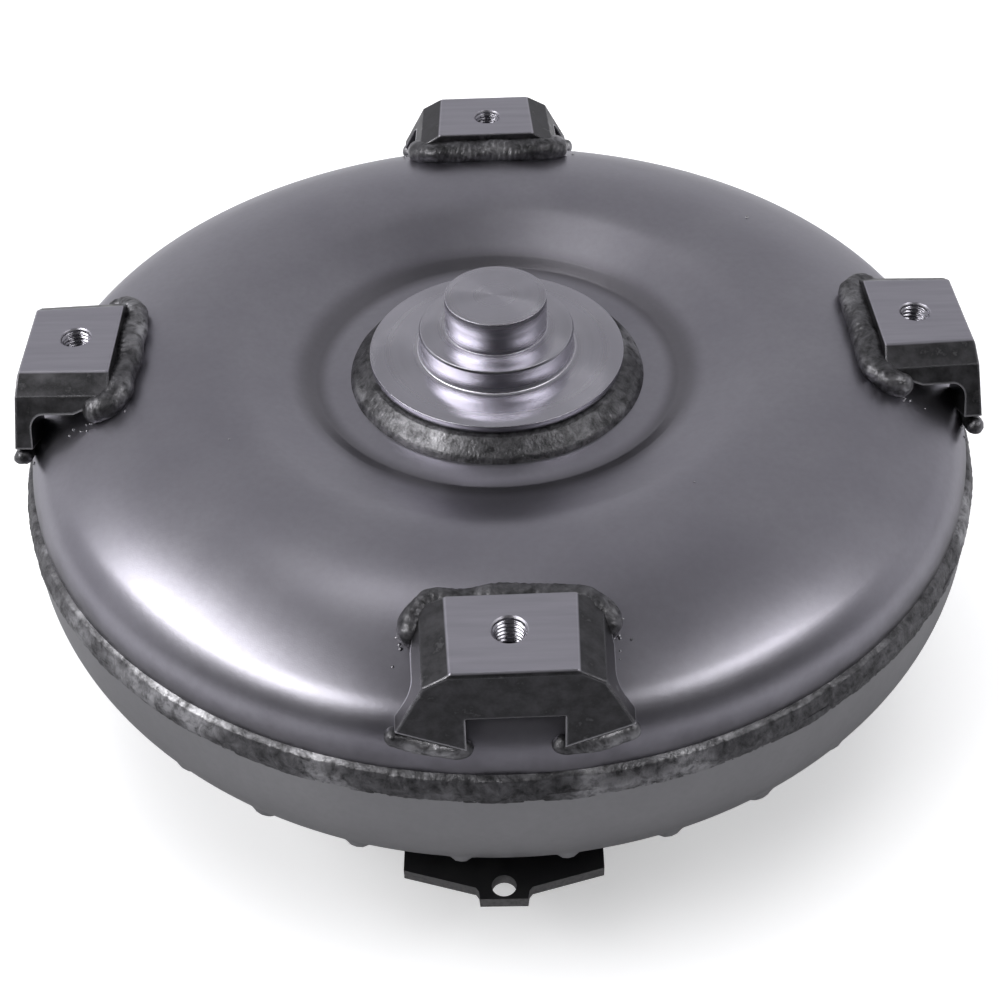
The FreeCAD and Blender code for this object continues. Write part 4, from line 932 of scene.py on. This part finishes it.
def floor_paper():
    """Pale paper whose mirrored colour goes from front to back by the larger of two shares, of Y and of |X|."""
    look = Finish("floor_paper", Roughness=0.9)
    path = look.add("ShaderNodeLightPath")
    place = look.add("ShaderNodeSeparateXYZ", {"Vector": look.place})
    back = look.spread(place.outputs[1], BACK_FROM, BACK_TO, 0.0, 1.0, True)
    side = look.spread(look.maths("ABSOLUTE", place.outputs[0]), SIDE_FROM, SIDE_TO, 0.0, SIDE_SHARE, True)
    shade = look.mix(look.maths("MAXIMUM", back, side), MIRRORED_FRONT, MIRRORED_BACK)
    look.set(Base_Color=look.mix(path.outputs["Is Glossy Ray"], FLOOR_PALE, shade),
             Alpha=look.maths("SUBTRACT", 1.0, look.add("ShaderNodeNewGeometry").outputs["Backfacing"]),
             Emission_Color=(1.0, 1.0, 1.0, 1.0),
             Emission_Strength=look.maths("MULTIPLY", path.outputs["Is Camera Ray"], CAMERA_GLOW))
    return look.material


corners = np.array([(-1, -1, 0), (1, -1, 0), (1, 1, 0), (-1, 1, 0)]) * FLOOR_HALF
corners[:, 2] = FLOOR_Z - FLOOR_GAP
floor_mesh = bpy.data.meshes.new("floor")
floor_mesh.from_pydata(corners.tolist(), [], [(0, 1, 2, 3)])
floor_mesh.materials.append(floor_paper())
floor = bpy.data.objects.new("floor", floor_mesh)
bpy.context.scene.collection.objects.link(floor)
print("floor at", corners[0, 2])

# %% [markdown]
# ## The lamps
# A soft box is a lamp with an area, and a polished or blasted curve shows it as a long soft streak. A wide one on the
# left and a smaller one on the right draw the two streaks on the dome's shoulder, and a small one behind lights the
# crown. The large one overhead brightens the floor and the paint, and is kept out of reflections.

# %% Lamps

AIM = Vector((0, 0, -0.05))


def softbox(name, azimuth, elevation, distance, width, height, power, mirrored=True):
    """A rectangular lamp that faces the middle of the converter from a given direction."""
    lamp = bpy.data.lights.new(name, "AREA")
    lamp.shape, lamp.size, lamp.size_y, lamp.energy = "RECTANGLE", width, height, power
    box = bpy.data.objects.new(name, lamp)
    a, e = math.radians(azimuth), math.radians(elevation)
    way = Vector((math.cos(a) * math.cos(e), math.sin(a) * math.cos(e), math.sin(e)))
    facing = way.to_track_quat("Z", "Y").to_matrix().to_4x4()
    box.matrix_world = Matrix.Translation(AIM + way * distance) @ facing
    box.visible_camera = False
    box.visible_glossy = mirrored
    bpy.context.scene.collection.objects.link(box)
    print("%-12s %5.1f W from %4d, %d degrees" % (name, power, azimuth, elevation))


softbox("left_box", 200, 42, 1.6, 1.50, 0.40, 14.5)
softbox("right_box", -30, 44, 1.6, 0.95, 0.32, 4.4)
softbox("rear_box", 128, 70, 1.8, 0.30, 0.22, 0.9)
softbox("overhead", 0, 89, 2.0, 1.6, 1.6, 26, mirrored=False)

# %% [markdown]
# ## The room
# What no lamp fills, the room does. In reflections it is pale behind the object, dimmer overhead and dark in front,
# as in a studio whose front stays unlit. The camera sees it plain white.

# %% Room

FRONT_DARK = (-0.45, 0.05, 0.12, 1.0)
ZENITH_DIM = (0.80, 0.97, 1.0, 0.45)
HORIZON_PALE = (0.1, 0.5, 0.62, 0.43)


def studio_world():
    """Strength is the product of three soft steps, one of the ray's Y and two of its Z; 1 for the camera."""
    world = bpy.data.worlds.new("studio")
    world.use_nodes = True
    tree = world.node_tree
    way = tree.nodes.new("ShaderNodeSeparateXYZ")
    tree.links.new(tree.nodes.new("ShaderNodeTexCoord").outputs["Generated"], way.inputs[0])

    def ramp(source, steps):
        node = tree.nodes.new("ShaderNodeMapRange")
        node.interpolation_type = "SMOOTHSTEP"
        tree.links.new(source, node.inputs["Value"])
        for key, value in zip(("From Min", "From Max", "To Min", "To Max"), steps):
            node.inputs[key].default_value = value
        return node.outputs[0]

    def product(first, second):
        node = tree.nodes.new("ShaderNodeMath")
        node.operation = "MULTIPLY"
        tree.links.new(first, node.inputs[0])
        tree.links.new(second, node.inputs[1])
        return node.outputs[0]

    level = product(product(ramp(way.outputs["Y"], FRONT_DARK), ramp(way.outputs["Z"], ZENITH_DIM)),
                    ramp(way.outputs["Z"], HORIZON_PALE))
    seen = tree.nodes.new("ShaderNodeMix")
    tree.links.new(tree.nodes.new("ShaderNodeLightPath").outputs["Is Camera Ray"], seen.inputs[0])
    tree.links.new(level, seen.inputs[2])
    seen.inputs[3].default_value = 1.0
    tree.links.new(seen.outputs[0], tree.nodes["Background"].inputs["Strength"])
    tree.nodes["Background"].inputs["Color"].default_value = (1.0, 1.0, 1.04, 1.0)
    return world


bpy.context.scene.world = studio_world()
bpy.context.scene.view_settings.view_transform = "Standard"
print("room:", bpy.context.scene.world.name)

# %% [markdown]
# ## The camera
# The camera looks down on the dome from the front. Its direction is built from three vectors at right angles: back,
# right and up. A small roll tilts the picture, and a small turn swings the camera round the axis.

# %% Camera

ELEVATION = math.radians(41.925)
TURN = math.radians(-0.638)
ROLL = math.radians(-1.39)
DISTANCE = 622.95 * MM
SENSOR, LENS = 36.0, 59.27
TARGET = Vector((-0.107, 0.0, -81.563)) * MM

camera_data = bpy.data.cameras.new("camera")
camera_data.sensor_width = SENSOR
camera_data.lens = LENS
camera = bpy.data.objects.new("camera", camera_data)
bpy.context.scene.collection.objects.link(camera)
back = Vector((0.0, -math.cos(ELEVATION), math.sin(ELEVATION)))
right = Vector((1.0, 0.0, 0.0))
up = back.cross(right)
right, up = (right * math.cos(ROLL) + up * math.sin(ROLL), up * math.cos(ROLL) - right * math.sin(ROLL))
pose = Matrix((right, up, back)).transposed().to_4x4()
pose.translation = TARGET + back * DISTANCE
camera.matrix_world = Matrix.Rotation(TURN, 4, "Z") @ pose
bpy.context.scene.camera = camera
print("camera at", tuple(round(part, 4) for part in camera.matrix_world.translation))

# %% [markdown]
# ## The end
# Surfaces must not outgrow the solids.

# %% The end
print("the scene is built")
